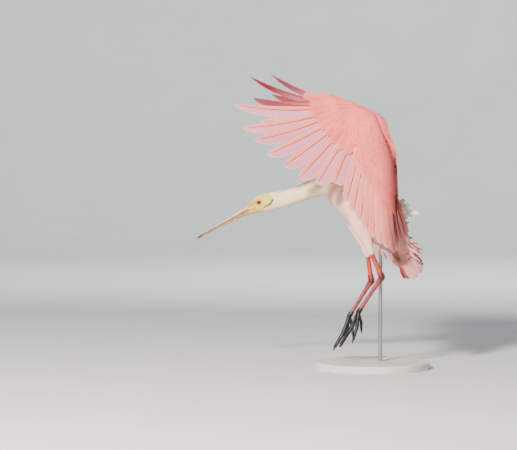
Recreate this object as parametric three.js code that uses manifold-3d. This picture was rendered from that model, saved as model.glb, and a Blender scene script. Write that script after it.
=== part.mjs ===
// A roseate spoonbill coming in to land, as a life-size still model on a plain display stand.
// Millimetres, +Z up, the bird heads towards -X, its left side is -Y, origin under the stand's base.
import * as THREE from "three";
import { mergeVertices } from "three/addons/utils/BufferGeometryUtils.js";
import Module from "manifold-3d";

const wasm = await Module();
wasm.setup();

const GAP = 0.3; // left between touching pieces
const LEFT = -1;
const RIGHT = 1;

// The stand.
const BASE_RADIUS = 150;
const BASE_HEIGHT = 18;
const BASE_EDGE = 3;
const ROD_RADIUS = 5;
const ROD_X = 22;
const ROD_TOP = 360;

// The trunk and neck from the nape to the root of the tail: x, z, half depth, half width.
const TRUNK = [
  [-270, 431, 24.5, 20],
  [-234, 437, 22.5, 19],
  [-208, 445, 21.5, 18.5],
  [-182, 454, 21.5, 19],
  [-148, 466, 23, 22],
  [-114, 472, 29, 30],
  [-88, 463, 42, 43],
  [-62, 451, 54, 54],
  [-34, 433, 60, 60],
  [-5, 408, 62, 61],
  [21, 381, 59, 57],
  [44, 353, 49, 48],
  [61, 330, 37, 36],
  [76, 310, 27, 26],
  [84, 297, 17, 19],
];
const TRUNK_RINGS = 21;
const TRUNK_SIDES = 18;
// Where the body is parted: a point in the middle plane and the direction towards the second part.
const NAPE = { place: [-256, 432], towards: [-1, 0] };
const NECK_BASE = { place: [-104, 468], towards: [0.93, -0.37] };
const RUMP = { place: [74, 314], towards: [0.6, -0.8] };

// The head, from the nape to the root of the bill: x, z, half depth, half width.
const HEAD = [
  [-250, 433.2, 25, 20],
  [-270.4, 431, 25, 22],
  [-283.4, 428, 24, 22],
  [-296.4, 422.6, 21, 19.5],
  [-309.4, 415.6, 16, 15.5],
  [-320, 409.6, 12.6, 13.6],
  [-329, 405, 11, 12.8],
];
const HEAD_RINGS = 11;
const HEAD_SIDES = 18;
const BILL_ROOT = { place: [-321, 409], towards: [-0.88, -0.47] };
const EYE = { x: -292, z: 430, radius: 6.4, sunk: 3.4 };
const LID = { radius: 5.5, thickness: 1.5, sunk: 0.6 };
const EAR = { x: -273, z: 423, radius: 3, proud: 0.4 };

// The bill: x, z, half depth, half width.
const BILL = [
  [-314, 412.6, 13, 14],
  [-333, 403.5, 9.6, 12],
  [-356, 391, 6.9, 10],
  [-385, 375.5, 5, 9],
  [-410, 362, 4, 10.5],
  [-427, 352, 3.5, 17],
  [-440, 344.5, 3.1, 23.5],
  [-448, 339.6, 2.6, 22],
  [-453.5, 336.4, 1.6, 13],
];
const BILL_RINGS = 17;
const BILL_SIDES = 16;
const BILL_MOUTH = 0.9; // the open line between the two halves
const NOSTRIL = { from: [-333, 409], to: [-344, 402.5], side: 6, radii: [0.6, 1.2, 0.6] };

// The legs, as x and z. Stations are shares of the way from one joint to the next.
const LEG_SIDE = 28; // how far a leg hangs from the middle plane
const KNEE_SIDE = 33;
const THIGH_STATIONS = [-0.36, 0, 0.45, 0.78, 1.04];
const THIGH_RADII = [20, 28, 22, 14.5, 8.6];
const THIGH_FLATNESS = 0.78;
const SHANK_STATIONS = [-0.12, 0.5, 0.8, 1.07];
const SHANK_RADII = [7, 6.2, 7.2, 8.6];
const TARSUS_STATIONS = [-0.05, 0.16, 0.6, 1.04];
const TARSUS_RADII = [8, 6.4, 5, 5.6];
const TARSUS_FLATNESS = 0.92;
const FOOT_STEPS = [-5, 3, 12];
const FOOT_RADII = [5.6, 7, 6.4];
const LEGS = {
  left: {
    side: LEFT,
    knee: [-32, 389],
    cuff: [-2.6, 305],
    ankle: [26, 238],
    foot: [-30, 153],
    toes: [
      { tip: [-75, 69], out: -20, radius: 5.2 },
      { tip: [-82, 59], out: 2, radius: 5.6 },
      { tip: [-48, 72], out: 20, radius: 5 },
      { tip: [-26, 95], out: -8, radius: 4.4 },
    ],
  },
  right: {
    side: RIGHT,
    knee: [-41, 383],
    cuff: [-13, 296],
    ankle: [-2.6, 225],
    foot: [-56, 139],
    toes: [
      { tip: [-94, 55], out: -19, radius: 5.2 },
      { tip: [-101, 45], out: 2, radius: 5.6 },
      { tip: [-82, 52], out: 20, radius: 5 },
      { tip: [-50, 80], out: -7, radius: 4.4 },
    ],
  },
};
const TOES_BELOW = 7; // from the end of the tarsus to where the toes part
const TOE_SHAPE = [1, 0.82, 0.92, 0.6];
const TOE_BEND = { x: 4, z: 0, hind: 3 };
const CLAW = { back: 7, sunk: 2, reach: 3, droop: 1.5, radii: [2.5, 1.7, 0.4] };
const WEB = { thickness: 2, edge: 0.95, hollow: 0.68, root: 0.06 };

// The wing's sheet, a curtain that hangs beside the body and turns in behind the back.
const SIDE_OUT = 141; // how far the curtain stands out from the middle at the elbow's height
const SIDE_LEAN = 0.09;
const SIDE_BOW = 0.00025;
const ELBOW_Z = 508;
const EDGE_X = 50; // the curtain's rearmost line
const EDGE_Z = 495;
const EDGE_LEAN = 0.08;
const TURN_RADIUS = 38;
const TIP_BOW = 3.4e-4;
const BACK = { x: 91, bend: 127, from: 340, height: 164, power: 2.65, middle: 8 };
const SHOULDER = { x: -31, z: 467 };
const FAR_WING = { turn: 0.075, from: 30, over: 90 }; // carried back, in radians, by distance out

// Flight feathers, on the sheet. Each reach is measured from the middle of the fan at the wrist.
const FAN = [-23, 641];
const PRIMARY_ANGLES = [158.5, 168.5, 173, 183.9, 190.9, 200.3, 210.9, 223.2, 235.5, 247.2];
const PRIMARY_REACH = [301, 278, 322, 301, 274, 254, 230, 218, 198, 176];
const PRIMARY_WIDTH = [15, 24, 30, 33, 34, 36, 38, 40, 42, 43];
const PRIMARY_ROOTS = { from: [-116, 688], to: [-26, 643], easing: 0.75, lift: -6.3, bow: 0.055 };
const PRIMARY_FRONT = 0.3; // share of the vane in front of its shaft
const CARPAL = { root: [-18, 642], tip: [-72, 468], outer: 16, inner: 26, lifts: [0.3, 0] };
const ALULA = {
  feathers: 3,
  root: [-22, 666],
  tip: [-74, 660],
  rootStep: [-5, 4],
  tipStep: [-8, 13],
  outer: 6,
  inner: 8,
  lifts: [4, 8.6],
  liftStep: [-1, -0.5],
};
const SECONDARIES = 9;
const TERTIALS = 4;
const FOREARM_ROOTS = { from: [-4, 636], to: [48, 524] };
const UPPER_ROOTS = { from: [50, 520], to: [112, 486] };
const ARM_TIPS = { from: -61, to: 152, top: 433, drop: 128, lowest: 0.66, rise: 36, riseFrom: 0.62 };
const ARM_LIFTS = { root: [0.7, 5], tip: 1.5 };
const SECONDARY_WIDTH = 42;
const TERTIAL_WIDTH = 34;
const SECONDARY_FRONT = 0.4;
const VANE_THICKNESS = 0.9;
const VANE_TAPER = [1.3, 0.6];
const TILT = 0.12; // how steeply each vane lies over the next
const ARM_TILT = 0.18;
const MEDIAN_TILT = 0.13;
const COVERT_TILT = 0.1;

// Rows of coverts: the share of the feather beneath that each covers, its width, its lift off the
// sheet at root and tip, and how far above that feather's root it starts. Two values run along a row.
const PRIMARY_COVERTS = {
  shares: [0.3, 0.3, 0.27, 0.3, 0.32, 0.36, 0.4, 0.44, 0.5, 0.56],
  width: [17, 24],
  rootLift: [-0.5, 5],
  tipLift: 4.4,
};
const GREATER = { shares: [0.5, 0.58], width: 30, lifts: [7, 6.2], tilt: ARM_TILT };
const MEDIAN = { shares: [0.32, 0.38], width: 40, lifts: [12, 11.2], above: 8, tilt: MEDIAN_TILT };
const UPPER_GREATER = { shares: [0.56, 0.56], width: 32, lifts: [9, 7.6], tilt: ARM_TILT };
const SCAPULAR = { shares: [0.36, 0.36], width: 32, lifts: [14, 12.5], above: 10, tilt: ARM_TILT };

// How much the feathers vary, as shares of their size, from a seeded draw.
const VARIATION = { seed: 5, length: 0.025, width: 0.06 };

// The arm's flesh, from the shoulder to the tip of the hand, by places on the sheet.
const ARM = [
  { at: [150, 470], wide: 15, thick: 13, lift: -4 },
  { at: [112, 488], wide: 16, thick: 13, lift: -3 },
  { at: [80, 508], wide: 16, thick: 12, lift: -2 },
  { at: [52, 528], wide: 16, thick: 11.5, lift: 0 },
  { at: [37, 562], wide: 14, thick: 11.5, lift: 1 },
  { at: [20, 602], wide: 13, thick: 11, lift: 1 },
  { at: [2, 640], wide: 16, thick: 10.5, lift: 1 },
  { at: [-22, 654], wide: 18, thick: 9.5, lift: 0 },
  { at: [-62, 668], wide: 15, thick: 7.5, lift: -2 },
  { at: [-96, 684], wide: 11, thick: 5.5, lift: -3.5 },
  { at: [-132, 697], wide: 5, thick: 3, lift: -4 },
];
const ARM_SIDES = 10;
const ELBOW_STATION = 2.6;
const WRIST_STATION = 6.45;
const JOINT_GAP = 0.02; // in stations
const SHOULDER_RADII = [24, 21, 14];
const SHOULDER_INSIDE = { side: 22, below: 12 };
const SHOULDER_START = { at: [112, 488], lift: -4 };
const WEB_SKIN = {
  shoulder: { forward: 4, side: 46, above: 14 },
  elbow: [96, 505],
  wrist: [6, 634],
  front: [-8, 652],
  stations: [0.04, 0.28, 0.52, 0.76, 0.97],
  lift: -3,
  frontLift: -6,
  hollow: 0.16,
  back: 0.1,
  thin: 1.4,
  thick: 3,
};

// The tail's fan.
const TAIL_ROOT = [68, 318];
const TAIL_SLOPE = -0.98;
const TAIL_ROLL = 0.72;
const TAIL_FEATHERS = 12;
const TAIL_LENGTH = 100;
const TAIL_SPREAD = 0.25;
const TAIL_WIDTH = 26;
const TAIL_ROUNDING = 0.07; // how much shorter the outermost are
const TAIL_ROOT_HALF = 18;
const TAIL_TILT = 0.07;
const TAIL_STACK = 6;
const TAIL_CUP = 6;
const TAIL_SUNK = 4;
const TAIL_COVERTS = { places: [1.5, 5.5, 9.5], width: 38, sunk: 6, above: 10, below: -7.5 };

const material = (colour, roughness, metalness = 0) =>
  new THREE.MeshStandardMaterial({ color: colour, roughness, metalness });
const materials = {
  plumage: material("#f4d3cd", 0.85),
  neck: material("#f5e6d6", 0.85),
  wing: material("#f2a3a3", 0.8),
  tail: material("#eda2a0", 0.8),
  skin: material("#cfd1a0", 0.6),
  bill: material("#d9c2a4", 0.45),
  eye: material("#a3110f", 0.15),
  leg: material("#c65c4c", 0.5),
  foot: material("#1f1816", 0.3),
  stand: material("#d8d6d1", 0.5),
  steel: material("#b9bbbd", 0.3, 0.9),
};

const point = (x, y, z) => new THREE.Vector3(x, y, z);
const mix = (a, b, t) => a + (b - a) * t;
const clamp01 = (t) => Math.min(1, Math.max(0, t));
const smooth = (t) => clamp01(t) ** 2 * (3 - 2 * clamp01(t));

// Turns a closed geometry into a solid with its faces pointing out.
function solid(geometry) {
  const plain = new THREE.BufferGeometry();
  plain.setAttribute("position", geometry.getAttribute("position"));
  if (geometry.index) plain.setIndex(geometry.index);
  const merged = mergeVertices(plain, 1e-4);
  const build = (triVerts) =>
    new wasm.Manifold(
      new wasm.Mesh({ numProp: 3, vertProperties: merged.attributes.position.array, triVerts }),
    );
  const faces = new Uint32Array(merged.index.array);
  const made = build(faces);
  if (made.volume() > 0) return made;
  for (let i = 0; i < faces.length; i += 3) {
    [faces[i], faces[i + 1]] = [faces[i + 1], faces[i]];
  }
  return build(faces);
}

// The largest closed surface of a solid, so that loose scraps and sealed hollows go.
function largest(body) {
  const pieces = body.decompose().filter((piece) => piece.volume() > 0);
  pieces.sort((a, b) => b.volume() - a.volume());
  return pieces[0];
}

const join = (bodies) => wasm.Manifold.union(bodies);

function node(name, body, look) {
  const mesh = largest(body).getMesh();
  const geometry = new THREE.BufferGeometry();
  geometry.setAttribute("position", new THREE.BufferAttribute(mesh.vertProperties, 3));
  geometry.setIndex(new THREE.BufferAttribute(mesh.triVerts, 1));
  geometry.computeVertexNormals();
  const made = new THREE.Mesh(geometry, look);
  made.name = name;
  return made;
}

// Skins a list of closed rings, each with as many points, and closes both ends.
function skin(rings) {
  const sides = rings[0].length;
  const positions = rings.flat().flatMap((p) => [p.x, p.y, p.z]);
  const faces = [];
  for (let r = 0; r + 1 < rings.length; r++) {
    for (let s = 0; s < sides; s++) {
      const a = r * sides + s;
      const b = r * sides + ((s + 1) % sides);
      faces.push(a, b, b + sides, a, b + sides, a + sides);
    }
  }
  const last = (rings.length - 1) * sides;
  for (let s = 1; s + 1 < sides; s++) {
    faces.push(0, s + 1, s, last, last + s, last + s + 1);
  }
  const geometry = new THREE.BufferGeometry();
  geometry.setAttribute("position", new THREE.Float32BufferAttribute(positions, 3));
  geometry.setIndex(faces);
  return solid(geometry);
}

// Reads a table of stations smoothly: t runs from 0 to 1.
function station(table, t) {
  const place = clamp01(t) * (table.length - 1);
  const i = Math.min(Math.floor(place), table.length - 2);
  const f = place - i;
  const row = (k) => table[Math.min(Math.max(k, 0), table.length - 1)];
  return table[0].map((_, c) => {
    const [p0, p1, p2, p3] = [row(i - 1)[c], row(i)[c], row(i + 1)[c], row(i + 2)[c]];
    const bend = 2 * p0 - 5 * p1 + 4 * p2 - p3 + f * (3 * (p1 - p2) + p3 - p0);
    return p1 + 0.5 * f * (p2 - p0 + f * bend);
  });
}

// One elliptical ring of a body that lies in the middle plane, grown a little if asked.
function middleRing(table, t, sides, grow) {
  const [x, z, depth, width] = station(table, t);
  const [xa, za] = station(table, t - 0.01);
  const [xb, zb] = station(table, t + 0.01);
  const run = Math.hypot(xb - xa, zb - za) * Math.sign(xb - xa);
  const up = [-(zb - za) / run, (xb - xa) / run];
  return Array.from({ length: sides }, (_, s) => {
    const angle = (2 * Math.PI * s) / sides;
    const rise = (depth + grow) * Math.cos(angle);
    return point(x + up[0] * rise, (width + grow) * Math.sin(angle), z + up[1] * rise);
  });
}

function middleBody(table, rings, sides, grow = 0) {
  return skin(
    Array.from({ length: rings }, (_, r) => middleRing(table, r / (rings - 1), sides, grow)),
  );
}

// A round limb along a bent line of points, with a radius at each.
function limb(points, radii, steps, sides, flat = 1) {
  const line = new THREE.CatmullRomCurve3(points, false, "centripetal");
  const table = radii.map((r) => [r]);
  const rings = [];
  for (let k = 0; k <= steps; k++) {
    const t = k / steps;
    const along = line.getTangent(t);
    const across = point(0, 1, 0).addScaledVector(along, -along.y).normalize();
    const up = across.clone().cross(along).normalize();
    const centre = line.getPoint(t);
    const [radius] = station(table, t);
    rings.push(
      Array.from({ length: sides }, (_, s) => {
        const angle = (2 * Math.PI * s) / sides;
        return centre
          .clone()
          .addScaledVector(across, radius * flat * Math.cos(angle))
          .addScaledVector(up, radius * Math.sin(angle));
      }),
    );
  }
  return skin(rings);
}

function ball(centre, radius, sides = 12) {
  const geometry = new THREE.SphereGeometry(radius, sides, sides / 2 + 1);
  geometry.translate(centre.x, centre.y, centre.z);
  return solid(geometry);
}

// Keeps what lies beyond a parting plane, or short of it, half a gap away from it.
function beyond(body, { place: [x, z], towards: [leanX, leanZ] }, way = 1) {
  const size = Math.hypot(leanX, leanZ) * way;
  const normal = [leanX / size, 0, leanZ / size];
  return body.trimByPlane(normal, x * normal[0] + z * normal[2] + GAP / 2);
}

const before = (body, plane) => beyond(body, plane, -1);

const trunk = (grow = 0) => middleBody(TRUNK, TRUNK_RINGS, TRUNK_SIDES, grow);

// A thin body between two grids of points that match, split into triangles alike on both faces.
function slab(top, under) {
  const rows = top.length;
  const columns = top[0].length;
  const positions = [...top.flat(), ...under.flat()].flatMap((p) => [p.x, p.y, p.z]);
  const faces = [];
  const below = rows * columns;
  const at = (r, c) => r * columns + c;
  for (let r = 0; r + 1 < rows; r++) {
    for (let c = 0; c + 1 < columns; c++) {
      const [a, b, d, e] = [at(r, c), at(r, c + 1), at(r + 1, c), at(r + 1, c + 1)];
      faces.push(a, b, e, a, e, d);
      faces.push(below + a, below + e, below + b, below + a, below + d, below + e);
    }
  }
  const wall = (a, b) => faces.push(b, a, below + a, b, below + a, below + b);
  for (let c = 0; c + 1 < columns; c++) {
    wall(at(0, c), at(0, c + 1));
    wall(at(rows - 1, c + 1), at(rows - 1, c));
  }
  for (let r = 0; r + 1 < rows; r++) {
    wall(at(r + 1, 0), at(r, 0));
    wall(at(r, columns - 1), at(r + 1, columns - 1));
  }
  const geometry = new THREE.BufferGeometry();
  geometry.setAttribute("position", new THREE.Float32BufferAttribute(positions, 3));
  geometry.setIndex(faces);
  return solid(geometry);
}

// Outlines of a vane: how far along it, and how wide there.
const SLIM = [[0, 0.14], [0.16, 0.5], [0.42, 0.94], [0.66, 1], [0.87, 0.66], [1, 0.13]];
const BROAD = [[0, 0.16], [0.3, 0.8], [0.85, 1], [0.96, 0.68], [1, 0.2]];
const SHORT = [[0, 0.2], [0.4, 0.85], [0.82, 0.85], [1, 0.25]];
const GROWN_ENDS = 0.04;

// A thin feather: place(s, t, lift) gives the point at s along it, t across it, lift above it.
function vane(place, outer, inner, { shape = SLIM, grow = 0, folded = false } = {}) {
  const face = (rise) =>
    shape.map(([s, width]) => {
      const half = (VANE_THICKNESS * mix(...VANE_TAPER, s)) / 2 + grow;
      const end = s + (s - 0.5) * grow * GROWN_ENDS;
      const edges = [-outer * width - grow, inner * width + grow];
      if (folded) edges.splice(1, 0, 0);
      return edges.map((t) => place(end, t, rise * half));
    });
  return slab(face(1), face(-1));
}

// The wing's sheet. u runs back along the curtain and then in behind the back, and z is height.
function sheet(u, z) {
  const rise = z - ELBOW_Z;
  const ahead = Math.min(0, u);
  const out = SIDE_OUT + SIDE_LEAN * rise - SIDE_BOW * rise * rise + TIP_BOW * ahead * ahead;
  const edge = EDGE_X + EDGE_LEAN * (EDGE_Z - z);
  const turnStart = edge - TURN_RADIUS;
  if (u <= turnStart) return point(u, -out, z);
  const angle = (u - turnStart) / TURN_RADIUS;
  if (angle < Math.PI / 2) {
    const x = turnStart + TURN_RADIUS * Math.sin(angle);
    return point(x, -(out - TURN_RADIUS * (1 - Math.cos(angle))), z);
  }
  const inward = u - turnStart - (TURN_RADIUS * Math.PI) / 2;
  const share = smooth(inward / (out - TURN_RADIUS - BACK.middle));
  const back = BACK.x - BACK.bend * Math.max(0, (z - BACK.from) / BACK.height) ** BACK.power;
  return point(mix(edge, back, share), -(out - TURN_RADIUS - inward), z);
}

// A point of the wing, with lift off the sheet's outer face. The far wing is mirrored and turned.
function wingPoint(side, u, z, lift) {
  const alongU = sheet(u + 2, z).sub(sheet(u - 2, z));
  const alongZ = sheet(u, z + 2).sub(sheet(u, z - 2));
  const p = sheet(u, z).addScaledVector(alongU.cross(alongZ).normalize(), lift);
  if (side === LEFT) return p;
  const turn = FAR_WING.turn * smooth((-p.y - FAR_WING.from) / FAR_WING.over);
  const back = p.x - SHOULDER.x;
  const up = p.z - SHOULDER.z;
  return point(
    SHOULDER.x + back * Math.cos(turn) + up * Math.sin(turn),
    -p.y,
    SHOULDER.z - back * Math.sin(turn) + up * Math.cos(turn),
  );
}

// Where a feather of the wing lies, from a root to a tip on the sheet, bent by bow.
function placing(side, feather) {
  const { root, tip, bow = 0, lifts, tilt = TILT } = feather;
  const run = new THREE.Vector2(tip[0] - root[0], tip[1] - root[1]);
  const length = run.length();
  const along = run.clone().divideScalar(length);
  const behind = new THREE.Vector2(-along.y, along.x);
  return (s, t, lift) => {
    const bend = bow * length * s * (1 - s) * 4;
    const u = root[0] + run.x * s + behind.x * (t + bend);
    const z = root[1] + run.y * s + behind.y * (t + bend);
    const base = lifts[1] + (lifts[0] - lifts[1]) * (1 - s) ** 2;
    return wingPoint(side, u, z, base - t * tilt + lift);
  };
}

// A feather that lies where the sheet turns is folded along its shaft.
function wingFeather(side, feather, grow = 0) {
  const { outer, inner, root, tip, covert } = feather;
  const folded = Math.max(root[0], tip[0]) > EDGE_X - TURN_RADIUS - inner;
  const long = folded ? BROAD : SLIM;
  return vane(placing(side, feather), outer, inner, { shape: covert ? SHORT : long, grow, folded });
}

const onPath = (a, b, t) => [mix(a[0], b[0], t), mix(a[1], b[1], t)];

const alongPath = (place, step, i) => [place[0] + step[0] * i, place[1] + step[1] * i];

THREE.MathUtils.seededRandom(VARIATION.seed);
const varied = (value, share) => value * (1 + share * (2 * THREE.MathUtils.seededRandom() - 1));

// Flight feathers and their coverts, as lists of roots and tips on the sheet.
function primaryList() {
  const { from, to, easing, lift, bow } = PRIMARY_ROOTS;
  return PRIMARY_ANGLES.map((degrees, i) => {
    const t = i / (PRIMARY_ANGLES.length - 1);
    const angle = (degrees * Math.PI) / 180;
    const reach = PRIMARY_REACH[i];
    const width = varied(PRIMARY_WIDTH[i], VARIATION.width);
    return {
      root: onPath(from, to, t ** easing),
      tip: [FAN[0] + reach * Math.cos(angle), FAN[1] + reach * Math.sin(angle)],
      bow: bow * (1 - t),
      outer: width * PRIMARY_FRONT,
      inner: width * (1 - PRIMARY_FRONT),
      lifts: [mix(lift, 0, t), 0],
    };
  });
}

function secondaryList() {
  const count = SECONDARIES + TERTIALS;
  return Array.from({ length: count }, (_, i) => {
    const t = i / (count - 1);
    const upper = clamp01((i - SECONDARIES + 1) / TERTIALS);
    const roots = upper > 0 ? UPPER_ROOTS : FOREARM_ROOTS;
    const share = upper > 0 ? upper : i / (SECONDARIES - 1);
    const fall = Math.sin((Math.min(1, t / ARM_TIPS.lowest) * Math.PI) / 2);
    const rise = smooth((t - ARM_TIPS.riseFrom) / (1 - ARM_TIPS.riseFrom));
    const width = varied(mix(SECONDARY_WIDTH, TERTIAL_WIDTH, upper), VARIATION.width);
    const root = onPath(roots.from, roots.to, share);
    const height = ARM_TIPS.top - ARM_TIPS.drop * fall + ARM_TIPS.rise * rise;
    return {
      root,
      tip: onPath(root, [mix(ARM_TIPS.from, ARM_TIPS.to, t), height], varied(1, VARIATION.length)),
      outer: width * SECONDARY_FRONT,
      inner: width * (1 - SECONDARY_FRONT),
      lifts: [mix(...ARM_LIFTS.root, t), ARM_LIFTS.tip * upper],
      tilt: ARM_TILT,
    };
  });
}

// A covert over a flight feather: it covers a share of it and starts a little above its root.
function covertOf(feather, { share, width, lifts, above = 4, tilt = COVERT_TILT }) {
  const { root, tip } = feather;
  const run = [tip[0] - root[0], tip[1] - root[1]];
  const start = alongPath(root, run, -above / Math.hypot(...run));
  const end = alongPath(start, run, varied(share, VARIATION.length));
  const half = varied(width, VARIATION.width) / 2;
  return { root: start, tip: end, outer: half, inner: half, lifts, tilt, covert: true };
}

const primaries = primaryList();
const secondaries = secondaryList();

const primaryCoverts = primaries.map((feather, i) => {
  const t = i / (primaries.length - 1);
  const { shares, width, rootLift, tipLift } = PRIMARY_COVERTS;
  const lifts = [mix(...rootLift, t), tipLift];
  return covertOf(feather, { share: shares[i], width: mix(...width, t), lifts });
});
const alula = Array.from({ length: ALULA.feathers }, (_, i) => ({
  ...ALULA,
  root: alongPath(ALULA.root, ALULA.rootStep, i),
  tip: alongPath(ALULA.tip, ALULA.tipStep, i),
  lifts: alongPath(ALULA.lifts, ALULA.liftStep, i),
  tilt: COVERT_TILT,
  covert: true,
}));
const handFeathers = [...primaries, CARPAL, ...primaryCoverts, ...alula];

const covertRow = (list, row) =>
  list.map((feather, i) => {
    const share = mix(...row.shares, i / (list.length - 1));
    return covertOf(feather, { ...row, share });
  });
const forearmOwn = secondaries.slice(0, SECONDARIES);
const everyOther = forearmOwn.filter((_, i) => i % 2 === 0);
const forearmFeathers = [...forearmOwn, ...covertRow(forearmOwn, GREATER), ...covertRow(everyOther, MEDIAN)];

const upperOwn = secondaries.slice(SECONDARIES);
const upperArmFeathers = [
  ...upperOwn,
  ...covertRow(upperOwn, UPPER_GREATER),
  ...covertRow(upperOwn, SCAPULAR),
];

function armRing(side, t, grow) {
  const table = ARM.map(({ at, wide, thick, lift }) => [...at, wide, thick, lift]);
  const last = ARM.length - 1;
  const [u, z, wide, thick, lift] = station(table, t / last);
  const [ua, za] = station(table, (t - 0.1) / last);
  const [ub, zb] = station(table, (t + 0.1) / last);
  const run = Math.hypot(ub - ua, zb - za);
  const across = [-(zb - za) / run, (ub - ua) / run];
  return Array.from({ length: ARM_SIDES }, (_, s) => {
    const angle = (2 * Math.PI * s) / ARM_SIDES;
    const reach = (wide + grow) * Math.cos(angle);
    const rise = lift + (thick + grow) * Math.sin(angle);
    return wingPoint(side, u + across[0] * reach, z + across[1] * reach, rise);
  });
}

function armPiece(side, from, to, steps, grow = 0) {
  const places = Array.from({ length: steps + 1 }, (_, k) => mix(from, to, k / steps));
  if (grow > 0) places.push(to + 2 * JOINT_GAP);
  return skin(places.map((t) => armRing(side, t, grow)));
}

// The shoulder joins the start of the arm to the trunk.
function shoulderPiece(side, grow = 0) {
  const start = wingPoint(side, ...SHOULDER_START.at, SHOULDER_START.lift);
  const inside = point(SHOULDER.x, side * SHOULDER_INSIDE.side, SHOULDER.z - SHOULDER_INSIDE.below);
  const middle = inside.clone().lerp(start, 0.55);
  return limb([inside, middle, start], SHOULDER_RADII.map((radius) => radius + grow), 4, 10);
}

// The skin web in front of the elbow, from the shoulder to the wrist.
function patagium(side, grow = 0) {
  const { shoulder, elbow, wrist, front: end, stations, lift, frontLift, hollow, back: inset } = WEB_SKIN;
  const start = point(SHOULDER.x - shoulder.forward, side * shoulder.side, SHOULDER.z + shoulder.above);
  const along = wingPoint(side, ...wrist, lift).sub(wingPoint(side, ...elbow, lift)).normalize();
  const rings = stations.map((s) => {
    const back = wingPoint(side, ...onPath(elbow, wrist, s), lift);
    const front = start.clone().lerp(wingPoint(side, ...end, frontLift), s);
    front.lerp(back, hollow * Math.sin(Math.PI * s) + inset);
    const off = back.clone().sub(front).cross(along).normalize();
    const corner = (p, half) => p.clone().addScaledVector(off, half);
    const thin = WEB_SKIN.thin + grow;
    const thick = WEB_SKIN.thick + grow;
    return [corner(front, thin), corner(back, thick), corner(back, -thick), corner(front, -thin)];
  });
  return skin(rings);
}

// Each wing is parted at the elbow and the wrist, and cut clear of the trunk.
function wingNodes(side, name) {
  const feathers = (list, grow) => list.map((feather) => wingFeather(side, feather, grow));
  const hand = (grow) => [
    armPiece(side, WRIST_STATION + JOINT_GAP, ARM.length - 1, 6, grow),
    ...feathers(handFeathers, grow),
  ];
  const forearm = (grow) => [
    armPiece(side, ELBOW_STATION, WRIST_STATION, 6, grow),
    patagium(side, grow),
    ...feathers(forearmFeathers, grow),
  ];
  const upperArm = (grow) => [
    armPiece(side, 0, ELBOW_STATION - JOINT_GAP, 4, grow),
    shoulderPiece(side, grow),
    ...feathers(upperArmFeathers, grow),
  ];
  const body = trunk(GAP);
  const pieces = {
    upper_arm: join(upperArm(0)).subtract(body),
    forearm: join(forearm(0)).subtract(join(upperArm(GAP))).subtract(body),
    hand: join(hand(0)).subtract(join(forearm(GAP))),
  };
  const partNames = Object.keys(pieces);
  return partNames.map((part) => node(`wing_${name}_${part}`, pieces[part], materials.wing));
}

// Head, eyes and bill.
function eyeball(side, grow = 0) {
  const width = headHalfWidth(EYE.x) - EYE.sunk;
  return ball(point(EYE.x, side * width, EYE.z), EYE.radius + grow);
}

function headHalfWidth(x) {
  const t = clamp01((HEAD[0][0] - x) / (HEAD[0][0] - HEAD[HEAD.length - 1][0]));
  return station(HEAD, t)[3];
}

function lid(side) {
  const ring = new THREE.TorusGeometry(LID.radius, LID.thickness, 5, 12);
  ring.rotateX(Math.PI / 2);
  ring.translate(EYE.x, side * (headHalfWidth(EYE.x) - LID.sunk), EYE.z);
  return solid(ring);
}

function headNode() {
  let body = beyond(middleBody(HEAD, HEAD_RINGS, HEAD_SIDES), NAPE);
  body = before(body, BILL_ROOT);
  for (const side of [LEFT, RIGHT]) {
    const ear = point(EAR.x, side * (headHalfWidth(EAR.x) + EAR.proud), EAR.z);
    body = body.add(lid(side)).subtract(eyeball(side, GAP)).subtract(ball(ear, EAR.radius, 8));
  }
  return node("head", body, materials.skin);
}

// Half of the bill, flat along the mouth: up is 1 for the upper half and -1 for the lower one.
function billHalf(up) {
  const quarter = BILL_SIDES / 4;
  const first = up > 0 ? -quarter : quarter;
  const rings = Array.from({ length: BILL_RINGS }, (_, r) => {
    const whole = middleRing(BILL, r / (BILL_RINGS - 1), BILL_SIDES, 0);
    const open = whole[0].clone().sub(whole[BILL_SIDES / 2]).setLength((up * BILL_MOUTH) / 2);
    return Array.from({ length: BILL_SIDES / 2 + 1 }, (_, s) => {
      return whole[(first + s + BILL_SIDES) % BILL_SIDES].clone().add(open);
    });
  });
  return beyond(skin(rings), BILL_ROOT);
}

function billNodes() {
  let upper = billHalf(1);
  for (const side of [LEFT, RIGHT]) {
    const [from, to] = [NOSTRIL.from, NOSTRIL.to].map(([x, z]) => point(x, side * NOSTRIL.side, z));
    upper = upper.subtract(limb([from, from.clone().lerp(to, 0.5), to], NOSTRIL.radii, 4, 6));
  }
  return [node("bill_upper", upper, materials.bill), node("bill_lower", billHalf(-1), materials.bill)];
}

const towards = (a, b) => b.clone().sub(a).normalize();
const spread = (a, b, shares) => shares.map((t) => a.clone().lerp(b, t));

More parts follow.
